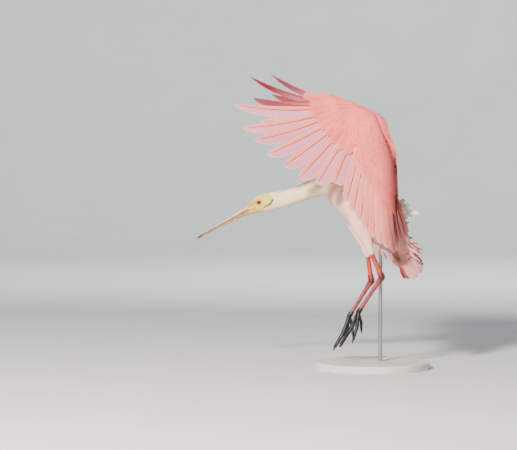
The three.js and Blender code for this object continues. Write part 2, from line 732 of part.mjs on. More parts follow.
// A leg in four nodes: feathered thigh, bare shank, tarsus and foot, parted by planes.
function legNodes(name, leg) {
  const at = ([x, z], out = LEG_SIDE) => point(x, leg.side * out, z);
  const knee = at(leg.knee, KNEE_SIDE);
  const [cuff, ankle, foot] = [at(leg.cuff), at(leg.ankle), at(leg.foot)];
  const thigh = limb(spread(knee, cuff, THIGH_STATIONS), THIGH_RADII, 9, 14, THIGH_FLATNESS);
  const shank = limb(spread(cuff, ankle, SHANK_STATIONS), SHANK_RADII, 8, 12);
  const tarsus = limb(spread(ankle, foot, TARSUS_STATIONS), TARSUS_RADII, 8, 12, TARSUS_FLATNESS);
  const down = towards(ankle, foot);
  const across = (place, direction) => ({ place, towards: [direction.x, direction.z] });
  const cuffCut = across(leg.cuff, towards(knee, cuff));
  const ankleCut = across(leg.ankle, towards(cuff, ankle).add(down));
  const footCut = across(leg.foot, down);
  return [
    node(`leg_${name}_thigh`, before(thigh.subtract(trunk(GAP)), cuffCut), materials.plumage),
    node(`leg_${name}_shank`, before(beyond(shank, cuffCut), ankleCut), materials.leg),
    node(`leg_${name}_tarsus`, before(beyond(tarsus, ankleCut), footCut), materials.leg),
    node(`leg_${name}_foot`, beyond(footBody(leg, foot, down), footCut), materials.foot),
  ];
}

function toeLine(leg, start, toe, hind) {
  const tip = point(toe.tip[0], start.y + leg.side * toe.out, toe.tip[1]);
  const bend = start.clone().lerp(tip, 0.5);
  bend.x += hind ? TOE_BEND.hind : TOE_BEND.x;
  bend.z += TOE_BEND.z;
  return [start, bend, tip];
}

// The foot: a pad, three front toes with webs between their roots, a hind toe and four claws.
function footBody(leg, foot, down) {
  const along = (t) => foot.clone().addScaledVector(down, t);
  const start = along(TOES_BELOW);
  const lines = leg.toes.map((toe, i) => toeLine(leg, start, toe, i === leg.toes.length - 1));
  const pieces = [limb(FOOT_STEPS.map(along), FOOT_RADII, 3, 10, 1.1)];
  lines.forEach(([, bend, tip], i) => {
    const onward = towards(bend, tip);
    const toeEnd = tip.clone().addScaledVector(onward, -CLAW.back);
    const clawRoot = toeEnd.clone().addScaledVector(onward, -CLAW.sunk);
    const clawTip = tip.clone().addScaledVector(onward, CLAW.reach);
    clawTip.z -= CLAW.droop;
    const radii = TOE_SHAPE.map((share) => leg.toes[i].radius * share);
    pieces.push(limb([start, start.clone().lerp(bend, 0.6), bend, toeEnd], radii, 4, 6));
    pieces.push(limb([clawRoot, tip, clawTip], CLAW.radii, 2, 4));
  });
  for (const i of [0, 1]) pieces.push(web(lines[i], lines[i + 1], down));
  return join(pieces);
}

// The skin between two front toes, with a hollow front edge.
function web([root, bendA], [, bendB], down) {
  const off = bendA.clone().sub(root).cross(bendB.clone().sub(root)).normalize();
  const rings = [0, 0.5, 1].map((s) => {
    const end = bendA.clone().lerp(bendB, s);
    const front = root.clone().lerp(end, s === 0.5 ? WEB.hollow : WEB.edge);
    const back = root.clone().addScaledVector(down, 3).lerp(end, WEB.root);
    const corner = (p, half) => p.clone().addScaledVector(off, half);
    const half = WEB.thickness / 2;
    return [corner(back, half), corner(front, half), corner(front, -half), corner(back, -half)];
  });
  return skin(rings);
}

// The tail: a fan of feathers over a fleshy root, rolled so that its near side hangs lower.
function tailFrame() {
  const along = point(Math.cos(TAIL_SLOPE), 0, Math.sin(TAIL_SLOPE));
  const up = point(-along.z, 0, along.x);
  const side = point(0, Math.cos(TAIL_ROLL), 0).addScaledVector(up, Math.sin(TAIL_ROLL));
  const off = side.clone().cross(along).normalize().negate();
  return { along, side, off };
}

function tailFeather(index, { share = 1, width = TAIL_WIDTH, lift = 0, sunk = TAIL_SUNK } = {}) {
  const { along, side, off } = tailFrame();
  const across01 = index / (TAIL_FEATHERS - 1);
  const turn = mix(-TAIL_SPREAD, TAIL_SPREAD, across01);
  const out = Math.abs(across01 - 0.5) * 2;
  const direction = along.clone().multiplyScalar(Math.cos(turn)).addScaledVector(side, Math.sin(turn));
  const across = side.clone().multiplyScalar(Math.cos(turn)).addScaledVector(along, -Math.sin(turn));
  const root = point(TAIL_ROOT[0], 0, TAIL_ROOT[1]);
  root.addScaledVector(side, mix(-TAIL_ROOT_HALF, TAIL_ROOT_HALF, across01));
  root.addScaledVector(direction, -sunk);
  const length = varied(TAIL_LENGTH * share, VARIATION.length) * (1 - TAIL_ROUNDING * out * out);
  const outward = Math.sign(across01 - 0.5);
  const stack = (1 - out) * TAIL_STACK;
  const place = (s, t, rise) => {
    const drop = lift + stack + t * outward * TAIL_TILT - TAIL_CUP * s * s * out;
    return root
      .clone()
      .addScaledVector(direction, s * length)
      .addScaledVector(across, t)
      .addScaledVector(off, drop + rise);
  };
  return vane(place, width / 2, width / 2, { shape: SHORT });
}

function tailNode() {
  const pieces = [trunk()];
  for (let i = 0; i < TAIL_FEATHERS; i++) pieces.push(tailFeather(i));
  const { places, width, sunk, above, below } = TAIL_COVERTS;
  for (const i of places) {
    pieces.push(tailFeather(i, { share: 0.5, width, lift: above, sunk }));
    pieces.push(tailFeather(i, { share: 0.55, width, lift: below, sunk }));
  }
  return node("tail", beyond(join(pieces), RUMP), materials.tail);
}

// The stand: a round flat base and one rod that ends at the belly.
function standNodes() {
  const rim = [
    new THREE.Vector2(0, 0),
    new THREE.Vector2(BASE_RADIUS - 1, 0),
    new THREE.Vector2(BASE_RADIUS, 1),
    new THREE.Vector2(BASE_RADIUS, BASE_HEIGHT - BASE_EDGE),
    new THREE.Vector2(BASE_RADIUS - BASE_EDGE, BASE_HEIGHT),
    new THREE.Vector2(0, BASE_HEIGHT),
  ];
  const disc = new THREE.LatheGeometry(rim, 32);
  disc.rotateX(Math.PI / 2);
  const length = ROD_TOP - BASE_HEIGHT - GAP;
  const rod = new THREE.CylinderGeometry(ROD_RADIUS, ROD_RADIUS, length, 16);
  rod.rotateX(Math.PI / 2);
  rod.translate(ROD_X, 0, BASE_HEIGHT + GAP + length / 2);
  return [
    node("stand_base", solid(disc), materials.stand),
    node("stand_rod", solid(rod).subtract(trunk(GAP)), materials.steel),
  ];
}

function bodyNodes() {
  const neck = before(before(trunk(), NAPE), NECK_BASE);
  const torso = before(beyond(trunk(), NECK_BASE), RUMP);
  return [node("neck", neck, materials.neck), node("torso", torso, materials.plumage)];
}

const spoonbill = new THREE.Group();
spoonbill.name = "roseate_spoonbill";
spoonbill.add(headNode());
for (const [name, side] of [["left", LEFT], ["right", RIGHT]]) {
  spoonbill.add(node(`eye_${name}`, eyeball(side), materials.eye));
  spoonbill.add(...wingNodes(side, name));
  spoonbill.add(...legNodes(name, LEGS[name]));
}
spoonbill.add(...billNodes(), ...bodyNodes(), tailNode(), ...standNodes());

export default spoonbill;
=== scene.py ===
import math

import bpy
import numpy as np
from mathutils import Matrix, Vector


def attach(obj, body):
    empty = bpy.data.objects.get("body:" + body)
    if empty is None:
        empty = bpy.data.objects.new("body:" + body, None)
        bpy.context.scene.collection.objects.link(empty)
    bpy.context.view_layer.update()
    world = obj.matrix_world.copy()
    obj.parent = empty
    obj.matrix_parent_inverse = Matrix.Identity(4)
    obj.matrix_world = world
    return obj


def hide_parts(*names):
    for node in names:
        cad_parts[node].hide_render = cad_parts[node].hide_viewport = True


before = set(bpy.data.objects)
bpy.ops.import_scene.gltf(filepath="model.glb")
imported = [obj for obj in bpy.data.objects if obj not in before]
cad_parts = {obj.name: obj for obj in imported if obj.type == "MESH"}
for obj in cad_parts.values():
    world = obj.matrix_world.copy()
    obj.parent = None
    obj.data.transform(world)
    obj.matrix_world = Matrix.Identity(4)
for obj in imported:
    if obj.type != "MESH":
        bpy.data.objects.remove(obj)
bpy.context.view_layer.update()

# A roseate spoonbill coming in to land. Sizes are in millimetres, as in the solids.
MM = 0.001
LEFT, RIGHT = -1, 1

# Head, neck and trunk from the bill to the tail: x, z, half depth, half width, depth of the coat.
BODY = [
    [-329, 405, 11, 12.8, 0], [-320, 409.6, 12.6, 13.6, 0], [-309.4, 415.6, 16, 15.5, 0],
    [-296.4, 422.6, 21, 19.5, 0], [-283.4, 428, 24, 22, 0], [-270.4, 431, 25, 22, 0],
    [-255, 432.8, 24, 20.4, 1.6], [-234, 437, 22.5, 19, 2.6], [-208, 445, 21.5, 18.5, 2.8],
    [-182, 454, 21.5, 19, 3], [-148, 466, 23, 22, 3.4], [-114, 472, 29, 30, 4],
    [-88, 463, 42, 43, 4.6], [-62, 451, 54, 54, 5], [-34, 433, 60, 60, 5], [-5, 408, 62, 61, 5],
    [21, 381, 59, 57, 5], [44, 353, 49, 48, 4.6], [61, 330, 37, 36, 4], [76, 310, 27, 26, 4],
    [84, 297, 17, 19, 3],
]
NAPE = 5.6  # station where the feathers start
NECK_END = 10.6
RUMP_END = 19.4

BILL = [
    [-314, 412.6, 13, 14], [-333, 403.5, 9.6, 12], [-356, 391, 6.9, 10], [-385, 375.5, 5, 9],
    [-410, 362, 4, 10.5], [-427, 352, 3.5, 17], [-440, 344.5, 3.1, 23.5], [-448, 339.6, 2.6, 22],
    [-453.5, 336.4, 1.6, 13],
]
BILL_MOUTH = 0.9
NOSTRIL = [(-333, 5.2), (-346, 4.2)]  # x, and distance from the top line
BILL_LIP = {"x": -322.5, "slope": 3.2, "drop": 2.4}  # where the bare skin ends on the bill, sloping
EYE = {"x": -292, "z": 430, "radius": 6.4, "sunk": 3.4, "lean": 0.3}

# Rolls round the eye: from and to angle, half length and half height, thickness.
LIDS = [
    (-0.3, 3.44, (5.9, 4.75), 0.95), (2.84, 6.58, (5.9, 5.0), 0.8), (0.1, 3.0, (7.9, 7.2), 0.6),
    (3.4, 6.1, (7.6, 7.0), 0.5),
]

# Grooves of the face, as x and z: line, depth, width.
EAR = [(-256.5, 436), (-259.5, 428.5), (-266, 422), (-277, 417.5)]
GAPE = [(-331, 404), (-318, 408), (-308, 411.5), (-301, 416)]
LORE = [(-332, 413), (-316, 421), (-303, 430)]  # only coloured
FACE_GROOVES = [
    (EAR, 1.5, 1.5), (GAPE, 1.1, 1.0), ([(-330, 400), (-312, 402), (-296, 404.5), (-280, 409)], 0.6, 1.1),
    ([(-326, 411.5), (-314, 419), (-304, 425)], 0.6, 0.9), ([(-322, 407), (-311, 414), (-302, 419.5)], 0.45, 0.8),
    ([(-282, 424), (-274, 425), (-266, 430)], 0.4, 0.9), ([(-302, 444), (-290, 447), (-279, 445)], 0.45, 0.8),
    ([(-298, 409), (-286, 412), (-274, 413)], 0.45, 0.9),
]

# The front edge of the feathers on the head, as z and x.
COAT_FRONT = [(400, -288), (410, -284), (417, -274), (425, -261), (436, -254.5), (445, -260), (452, -266)]

LEG_SIDE, KNEE_SIDE = 28, 33
LEGS = {
    "left": {
        "side": LEFT, "knee": (-32, 389), "cuff": (-2.6, 305), "ankle": (26, 238), "foot": (-30, 153),
        "toes": [((-75, 69), -20, 5.2), ((-82, 59), 2, 5.6), ((-48, 72), 20, 5.0), ((-26, 95), -8, 4.4)],
    },
    "right": {
        "side": RIGHT, "knee": (-41, 383), "cuff": (-13, 296), "ankle": (-2.6, 225), "foot": (-56, 139),
        "toes": [((-94, 55), -19, 5.2), ((-101, 45), 2, 5.6), ((-82, 52), 20, 5.0), ((-50, 80), -7, 4.4)],
    },
}

# The wing's sheet: a curtain beside the body that turns in behind the back.
SIDE_OUT, SIDE_LEAN, SIDE_BOW, ELBOW_Z = 141, 0.09, 0.00025, 508
EDGE_X, EDGE_Z, EDGE_LEAN, TURN_RADIUS, TIP_BOW = 50, 495, 0.08, 38, 3.4e-4
BACK = {"x": 91, "bend": 127, "from": 340, "height": 164, "power": 2.65, "middle": 8}
SHOULDER, SHOULDER_END = (-31, 467), (112, 488, -4)  # in the body as x and z, on the wing as u, z and lift
FAR_WING = {"turn": 0.075, "from": 30, "over": 90}

FAN = np.array([-23.0, 641.0])
PRIMARY_ANGLES = [158.5, 168.5, 173, 183.9, 190.9, 200.3, 210.9, 223.2, 235.5, 247.2]
PRIMARY_REACH = [301, 278, 322, 301, 274, 254, 230, 218, 198, 176]
PRIMARY_WIDTH = [15, 24, 30, 33, 34, 36, 38, 40, 42, 43]
PRIMARIES, SECONDARIES, TERTIALS = len(PRIMARY_ANGLES), 9, 4
# First and last root of each row of flight feathers, on the sheet.
PRIMARY_ROOTS = np.array([[-116.0, 688.0], [-26.0, 643.0]])
SECONDARY_ROOTS = np.array([[-4.0, 636.0], [48.0, 524.0]])
TERTIAL_ROOTS = np.array([[50.0, 520.0], [112.0, 486.0]])
ARM = np.array([  # u, z, half width, half thickness, lift
    [150, 470, 15, 13, -4], [112, 488, 16, 13, -3], [80, 508, 16, 12, -2], [52, 528, 16, 11.5, 0],
    [37, 562, 14, 11.5, 1], [20, 602, 13, 11, 1], [2, 640, 16, 10.5, 1], [-22, 654, 18, 9.5, 0],
    [-62, 668, 15, 7.5, -2], [-96, 684, 11, 5.5, -3.5], [-132, 697, 5, 3, -4],
], float)

WEB_SKIN = {
    "shoulder": (-35, 46, 481), "elbow": (96, 505), "wrist": (6, 634), "front": (-8, 652, -6),
    "lift": -3, "hollow": 0.16, "back": 0.1,
}

# Rows of small coverts: distance behind the arm's line, length, last station of the arm.
COVERT_ROWS = [
    (-13.5, 17, 10.0), (-11, 19, 10), (-7, 22, 10), (-2, 26, 10), (4, 28, 9.8), (10, 30, 9.4), (17, 33, 9),
    (25, 36, 8.4), (34, 38, 7),
]
# Rows that wrap the arm's front edge: angle in degrees, and the way they lie, up or down.
EDGE_ROWS = [(186, -1), (170, -1), (152, -1), (134, -1), (174, 1), (192, 1), (212, 1), (232, 1), (252, 1)]

TAIL = {"root": (68, 318), "slope": -0.98, "roll": 0.72, "feathers": 12, "length": 100, "spread": 0.25, "half": 18}
# Share of deep red for each tail feather, near side first: carmine on the outer feathers, and on the near lower edge
# also painted shade.
TAIL_TINT = [0.95, 0.8, 0.15, 0.0, 0.0, 0.0, 0.0, 0.05, 0.1, 0.25, 0.5, 0.95]

BASE = {"radius": 150, "height": 18, "edge": 3}

SMALL_FEATHER = {"thick": 0.1, "bare": -0.3, "full": 0.3, "taper": 0.4, "slant": 0.3, "camber": 0.02}
SMALL_MAP = 0.003  # the share of its map that one small feather takes
BARB = 0.9  # from one barb of a vane to the next

# Colours of feathers, each: outer vane, inner vane, margin, shaft, and the deep colour that tint brings in; on the
# coverts, body and tail that deep colour is partly painted shade, on the flight feathers partly painted light shining
# through.
COVERT_COLOURS = "f8706c", "f4666a", "fb8c84", "e44a52", "84182f"
FLIGHT_COLOURS = "f08074", "e08ca2", "f6b0a8", "a8101f", "6c0c1e"
TAIL_COLOURS = "fdb4a8", "faa8aa", "fecec2", "d04a58", "8c0c20"
BODY_COLOURS = "ffd0b4", "fec8ac", "ffdac2", "fab69c", "c87a80"
NECK_COLOURS = "ffeac0", "fee6ba", "fff2d2", "f8d49c", "dcae80"
PLUME_COLOURS = "fbf0e4", "f6e9e2", "fdf6ee", "f0dccb", "d8b4b0"

# Small coverts darken below a height on the sheet, and above the wing only behind a line: partly the carmine of real
# underwing and shoulder coverts, partly painted shade, the height being the edge of the near wing's shadow on the far
# wing.
COVERT_CARMINE_AND_SHADE = {"z": 612, "fade": 40, "small_u": 54, "edge_u": 50, "fade_u": 14, "upper": 0.55, "under": 0.8}
# The trunk's coat darkens towards the rump: partly pinker plumage, partly painted shade where the wing shadows the
# rump.
BODY_PINK_AND_SHADE = {"from": 13.2, "over": 3.4}  # stations of the trunk where its coat darkens
ANKLE_DARK = {"reach": 13, "strength": 1.4}
LEG_SKIN = {"below": 312, "before": 40}  # the leg's look lies on the skin below and before these

# How many corners go round each kind of loft.
SIDES = {"skin": 168, "lid": 16, "leg": 56, "arm": 32, "toe": 28, "claw": 12, "eye": 48, "base": 160, "shaft": 6}

rng = np.random.default_rng(20)


def smooth(t):
    t = np.clip(t, 0, 1)
    return t * t * (3 - 2 * t)


def mix(a, b, t):
    return a + (b - a) * t


def unit(v):
    return v / np.maximum(np.linalg.norm(v, axis=-1, keepdims=True), 1e-9)


def each(values):
    """One value for every feather, shaped to go with the feathers' grids."""
    return np.asarray(values, float).reshape(-1, 1, 1)


def turns(count):
    """Angles evenly round a ring."""
    return np.arange(count) * 2 * np.pi / count


def arc_lengths(path):
    """Distance along a path to each of its points."""
    return np.concatenate([[0], np.cumsum(np.linalg.norm(np.diff(path, axis=0), axis=1))])


def settle(s):
    """Rises from 0 to 1, fast at first."""
    return 1 - (1 - s) ** 2


def bell(value, width):
    return np.exp(-((value / width) ** 2))


def stations(table, t):
    """Reads a table of stations smoothly, t in stations."""
    table = np.asarray(table, float)
    t = np.clip(np.asarray(t, float), 0, len(table) - 1)
    i = np.minimum(t.astype(int), len(table) - 2)
    f = (t - i)[..., None]
    p0, p1, p2, p3 = (table[np.clip(i + k, 0, len(table) - 1)] for k in (-1, 0, 1, 2))
    bend = 2 * p0 - 5 * p1 + 4 * p2 - p3 + f * (3 * (p1 - p2) + p3 - p0)
    return p1 + 0.5 * f * (p2 - p0 + f * bend)


def wavy(x, seed):
    """A smooth, seeded ripple between -1 and 1."""
    x = np.asarray(x, float)
    return (np.sin(x + seed) + 0.6 * np.sin(2.3 * x + 1.7 * seed) + 0.4 * np.sin(4.1 * x + 2.9 * seed)) / 2


# Meshes.
def write_numbers(me, key, values):
    me.attributes.new(key, "FLOAT", "POINT").data.foreach_set("value", values.astype(np.float32))


def shell(parts, name, looks):
    """Makes one mesh piece from parts: each has v, f (quads) and maybe uv, bake, numbers and rim."""
    offset, vertices, faces = 0, [], []
    for p in parts:
        vertices.append(p["v"].reshape(-1, 3))
        faces.append(p["f"] + offset)
        offset += len(vertices[-1])
    v, f = np.concatenate(vertices), np.concatenate(faces).astype(np.int32)
    me = bpy.data.meshes.new(name)
    me.vertices.add(len(v))
    me.vertices.foreach_set("co", (v * MM).astype(np.float32).ravel())
    me.loops.add(f.size)
    me.loops.foreach_set("vertex_index", f.ravel())
    me.polygons.add(len(f))
    me.polygons.foreach_set("loop_start", np.arange(0, f.size, 4, dtype=np.int32))
    me.update(calc_edges=True)
    for key, label in (("uv", "Feather"), ("bake", "OFBake")):
        if key in parts[0]:
            uv = np.concatenate([p[key].reshape(-1, 2) for p in parts])
            me.uv_layers.new(name=label).uv.foreach_set("vector", uv[f.ravel()].astype(np.float32).ravel())
    for key in parts[0].get("numbers", {}):
        values = np.concatenate([np.broadcast_to(p["numbers"][key], p["v"].shape[:-1]).ravel() for p in parts])
        write_numbers(me, key, values)
    me.polygons.foreach_set("use_smooth", np.ones(len(f), bool))
    if any("rim" in p for p in parts):
        rim = np.concatenate([p.get("rim", np.zeros(len(w), bool)) for p, w in zip(parts, vertices)])
        ends = np.empty(len(me.edges) * 2, np.int32)
        me.edges.foreach_get("vertices", ends)
        sharp = me.attributes.new("sharp_edge", "BOOLEAN", "EDGE")
        sharp.data.foreach_set("value", rim[ends.reshape(-1, 2)].all(1))
    ob = bpy.data.objects.new(name, me)
    bpy.context.scene.collection.objects.link(ob)
    for look in looks:
        me.materials.append(look)
    return ob


def outward(v, f):
    """Turns the faces of a closed body so that they look out."""
    a, b, c, d = (v[f[:, k]] for k in range(4))
    volume = (np.einsum("ij,ij->i", a, np.cross(b, c)) + np.einsum("ij,ij->i", a, np.cross(c, d))).sum()
    return f if volume > 0 else f[:, ::-1]


def loft(rings):
    """Skins rings (n, sides, 3), with an even number of sides, and closes both ends."""
    n, sides = rings.shape[:2]
    grid = np.arange(n * sides).reshape(n, sides)
    after = np.roll(grid, -1, axis=1)
    walls = np.stack([grid[:-1], after[:-1], after[1:], grid[1:]], -1).reshape(-1, 4)
    i = np.arange(sides // 2 - 1)
    ladder = np.stack([i, i + 1, sides - 2 - i, sides - 1 - i], -1)
    caps = np.concatenate([ladder[:, ::-1], ladder + (n - 1) * sides])
    v = rings.reshape(-1, 3)
    return {"v": v, "f": outward(v, np.concatenate([walls, caps]))}


def lens(rows, cols):
    """Faces of a thin closed body of two grids that share their rim."""
    top = np.arange(rows * cols).reshape(rows, cols)
    under = top.copy()
    under[1:-1, 1:-1] = rows * cols + np.arange((rows - 2) * (cols - 2)).reshape(rows - 2, cols - 2)
    quads = [np.stack([g[:-1, :-1], g[:-1, 1:], g[1:, 1:], g[1:, :-1]], -1).reshape(-1, 4) for g in (top, under)]
    return np.concatenate([quads[0], quads[1][:, ::-1]])


def vane_width(s, bare, full, taper, blunt):
    grown = smooth((s - bare) / (full - bare))
    end = 1 - np.clip((s - taper) / (1 - taper), 0, 1) ** 2
    return np.maximum(grown * np.sqrt(np.clip(end, 0, 1)) ** blunt, 0.02)


def vanes(place, length, outer, inner, rows, cols, bake, thick=0.35, bare=0.05, full=0.25, taper=0.72,
          blunt=1.0, slant=0.9, camber=0.04, ragged=0.03, splits=0, tint=0.0, shaft=None, seed=0):
    """Feathers laid by place(s, t, lift), each array (n, rows, cols): vanes, and a shaft if its radii are given."""
    draw = np.random.default_rng(seed)
    length, outer, inner, taper, blunt = (each(x) for x in (length, outer, inner, taper, blunt))
    n = len(length)
    tone = draw.random((n, 1, 1))
    s = np.linspace(0, 1, rows).reshape(1, -1, 1)
    q = np.linspace(-1, 1, cols).reshape(1, 1, -1)
    width = vane_width(s, bare, full, taper, blunt) * np.where(q < 0, outer, inner)
    phase = draw.random((n, 1, 1)) * 40
    width = width * (1 + ragged * wavy(s * length / 3.1, phase + np.where(q < 0, 0.0, 9.0)))
    for _ in range(splits):
        at = draw.uniform(0.35, 0.9, (n, 1, 2))[:, :, (np.arange(cols) > cols // 2).astype(int)]
        depth = draw.uniform(0, 0.3, (n, 1, 1))
        width = width * (1 - depth * bell((s - at) * (rows - 1), 0.7))
    t = q * width
    stretch = 1 + 0.35 * slant * np.maximum(outer, inner) / length * 0.5
    ahead = slant * (1 - 0.55 * smooth((s - 0.65) / 0.35)) * np.abs(t) / length
    along = (s + ahead) / stretch
    ripple = 0.25 * wavy(s * length / 7 + 2 * q, phase) * np.abs(q) * min(1, thick * 3)
    curve = -camber * np.abs(q) ** 1.6 * width + ripple
    inside = np.zeros((rows, cols), bool)
    inside[1:-1, 1:-1] = True
    swell = thick * (1 - np.abs(q) ** 1.5) * np.sqrt(np.clip(1 - s, 0.05, 1)) * inside
    centre, size = bake

    def two_sided(values):
        grid = np.broadcast_to(values, (n, rows, cols))
        return np.concatenate([grid.reshape(n, -1), grid[:, inside]], 1)

    def part(v, f, uv, barb, on_shaft, **more):
        flat = 0 * barb
        return {
            "v": v, "f": f, "uv": uv, "bake": centre.reshape(-1, 1, 2) + (uv - 0.5) * np.asarray(size),
            "numbers": {
                "tone": tone[:, :, 0] + flat, "barb": barb, "shaft": flat + on_shaft,
                "tint": np.asarray(tint, float).reshape(-1, 1) + flat,
            }, **more,
        }

    under = place(along, t, curve - swell)
    v = np.concatenate([place(along, t, curve + swell).reshape(n, -1, 3), under[:, inside]], 1)
    count = v.shape[1]
    f = (lens(rows, cols)[None] + count * np.arange(n)[:, None, None]).reshape(-1, 4)
    uv = np.stack([two_sided(0.5 + 0.5 * q), two_sided(s)], -1)
    rim = np.concatenate([~inside.ravel(), np.zeros(count - rows * cols, bool)])
    parts = [part(v, outward(v.reshape(-1, 3), f), uv, two_sided(s * length), 0, rim=np.tile(rim, n))]
    if shaft is not None:
        sides, steps = SIDES["shaft"], max(6, rows // 2)
        s = np.linspace(0, 0.985, steps).reshape(1, -1, 1)
        turn = turns(sides).reshape(1, 1, -1)
        radius = mix(*shaft, s**0.8) * np.ones((n, 1, 1))
        rings = place(s / stretch + 0 * turn, radius * np.cos(turn), 0.1 + radius * np.sin(turn) * 0.8)
        f = (loft(rings[0])["f"][None] + steps * sides * np.arange(n)[:, None, None]).reshape(-1, 4)
        uv = np.stack([0.5 + 0 * rings[..., 0], s + 0 * rings[..., 0]], -1).reshape(n, -1, 2)
        parts.append(part(rings.reshape(n, -1, 3), f, uv, 0 * uv[..., 0], 1))
    return parts


# Surfaces. Each gives points from two places on it and a height above it.
def body_point(t, angle, lift=0.0):
    t, angle, lift = np.broadcast_arrays(t, angle, lift)
    x, z, depth, width, _ = np.moveaxis(stations(BODY, t), -1, 0)
    a, b = stations(BODY, t - 0.05), stations(BODY, t + 0.05)
    run = unit(b[..., :2] - a[..., :2])
    rise = (depth + lift) * np.cos(angle)
    return np.stack([x - run[..., 1] * rise, (width + lift) * np.sin(angle), z + run[..., 0] * rise], -1)


def coat_depth(t):
    return stations(BODY, t)[..., 4]


BODY_T = np.linspace(0, len(BODY) - 1, 801)
BODY_ARC = arc_lengths(stations(BODY, BODY_T)[:, :2])


def body_t(arc):
    return np.interp(arc, BODY_ARC, BODY_T)


def body_arc(t):
    return np.interp(t, BODY_T, BODY_ARC)


def limb_point(table, t, angle, flat=1.0, lift=0.0):
    """A round limb along stations of x, y, z and radius."""
    t, angle, lift, flat = np.broadcast_arrays(t, angle, lift, flat)
    row = stations(table, t)
    along = unit(stations(table, t + 0.05)[..., :3] - stations(table, t - 0.05)[..., :3])
    across = unit(np.array([0, 1, 0]) - along * along[..., 1:2])
    up = unit(np.cross(across, along))
    radius = (row[..., 3] + lift)[..., None]
    return row[..., :3] + across * radius * (flat * np.cos(angle))[..., None] + up * radius * np.sin(angle)[..., None]


def sheet(u, z):
    u, z = np.broadcast_arrays(np.asarray(u, float), np.asarray(z, float))
    rise = z - ELBOW_Z
    out = SIDE_OUT + SIDE_LEAN * rise - SIDE_BOW * rise**2 + TIP_BOW * np.minimum(0, u) ** 2
    edge = EDGE_X + EDGE_LEAN * (EDGE_Z - z)
    start = edge - TURN_RADIUS
    angle = np.clip((u - start) / TURN_RADIUS, 0, np.pi / 2)
    inward = np.maximum(0, u - start - TURN_RADIUS * np.pi / 2)
    share = smooth(inward / (out - TURN_RADIUS - BACK["middle"]))
    back = BACK["x"] - BACK["bend"] * np.maximum(0, (z - BACK["from"]) / BACK["height"]) ** BACK["power"]
    x = np.where(u <= start, u, start + TURN_RADIUS * np.sin(angle))
    x = np.where(inward > 0, mix(edge, back, share), x)
    return np.stack([x, -(out - TURN_RADIUS * (1 - np.cos(angle)) - inward), z], -1)


def wing_point(side, u, z, lift):
    off = unit(np.cross(sheet(u + 2, z) - sheet(u - 2, z), sheet(u, z + 2) - sheet(u, z - 2)))
    p = sheet(u, z) + off * np.asarray(lift)[..., None]
    if side == LEFT:
        return p
    turn = FAR_WING["turn"] * smooth((-p[..., 1] - FAR_WING["from"]) / FAR_WING["over"])
    back, up = p[..., 0] - SHOULDER[0], p[..., 2] - SHOULDER[1]
    return np.stack([
        SHOULDER[0] + back * np.cos(turn) + up * np.sin(turn), -p[..., 1],
        SHOULDER[1] - back * np.sin(turn) + up * np.cos(turn),
    ], -1)


def wing_place(side, root, tip, lifts, tilt, bow=0.0, height=None):
    """Lays feathers on the wing from roots to tips, (n, 2) each, on the sheet."""
    root, tip = np.asarray(root, float), np.asarray(tip, float)
    run = tip - root
    length = np.linalg.norm(run, axis=1)
    along = run / length[:, None]
    behind = np.stack([-along[:, 1], along[:, 0]], 1)
    low, high = each(lifts[0]), each(lifts[1])

    def place(s, t, lift):
        across = t + each(bow) * each(length) * s * (1 - s) * 4
        u, z = (each(root[:, k]) + each(run[:, k]) * s + each(behind[:, k]) * across for k in (0, 1))
        base = high + (low - high) * (1 - s) ** 2 - t * each(tilt)
        if height is not None:
            base = base + height(u, z)
        return wing_point(side, u, z, base + lift)

    return place, length


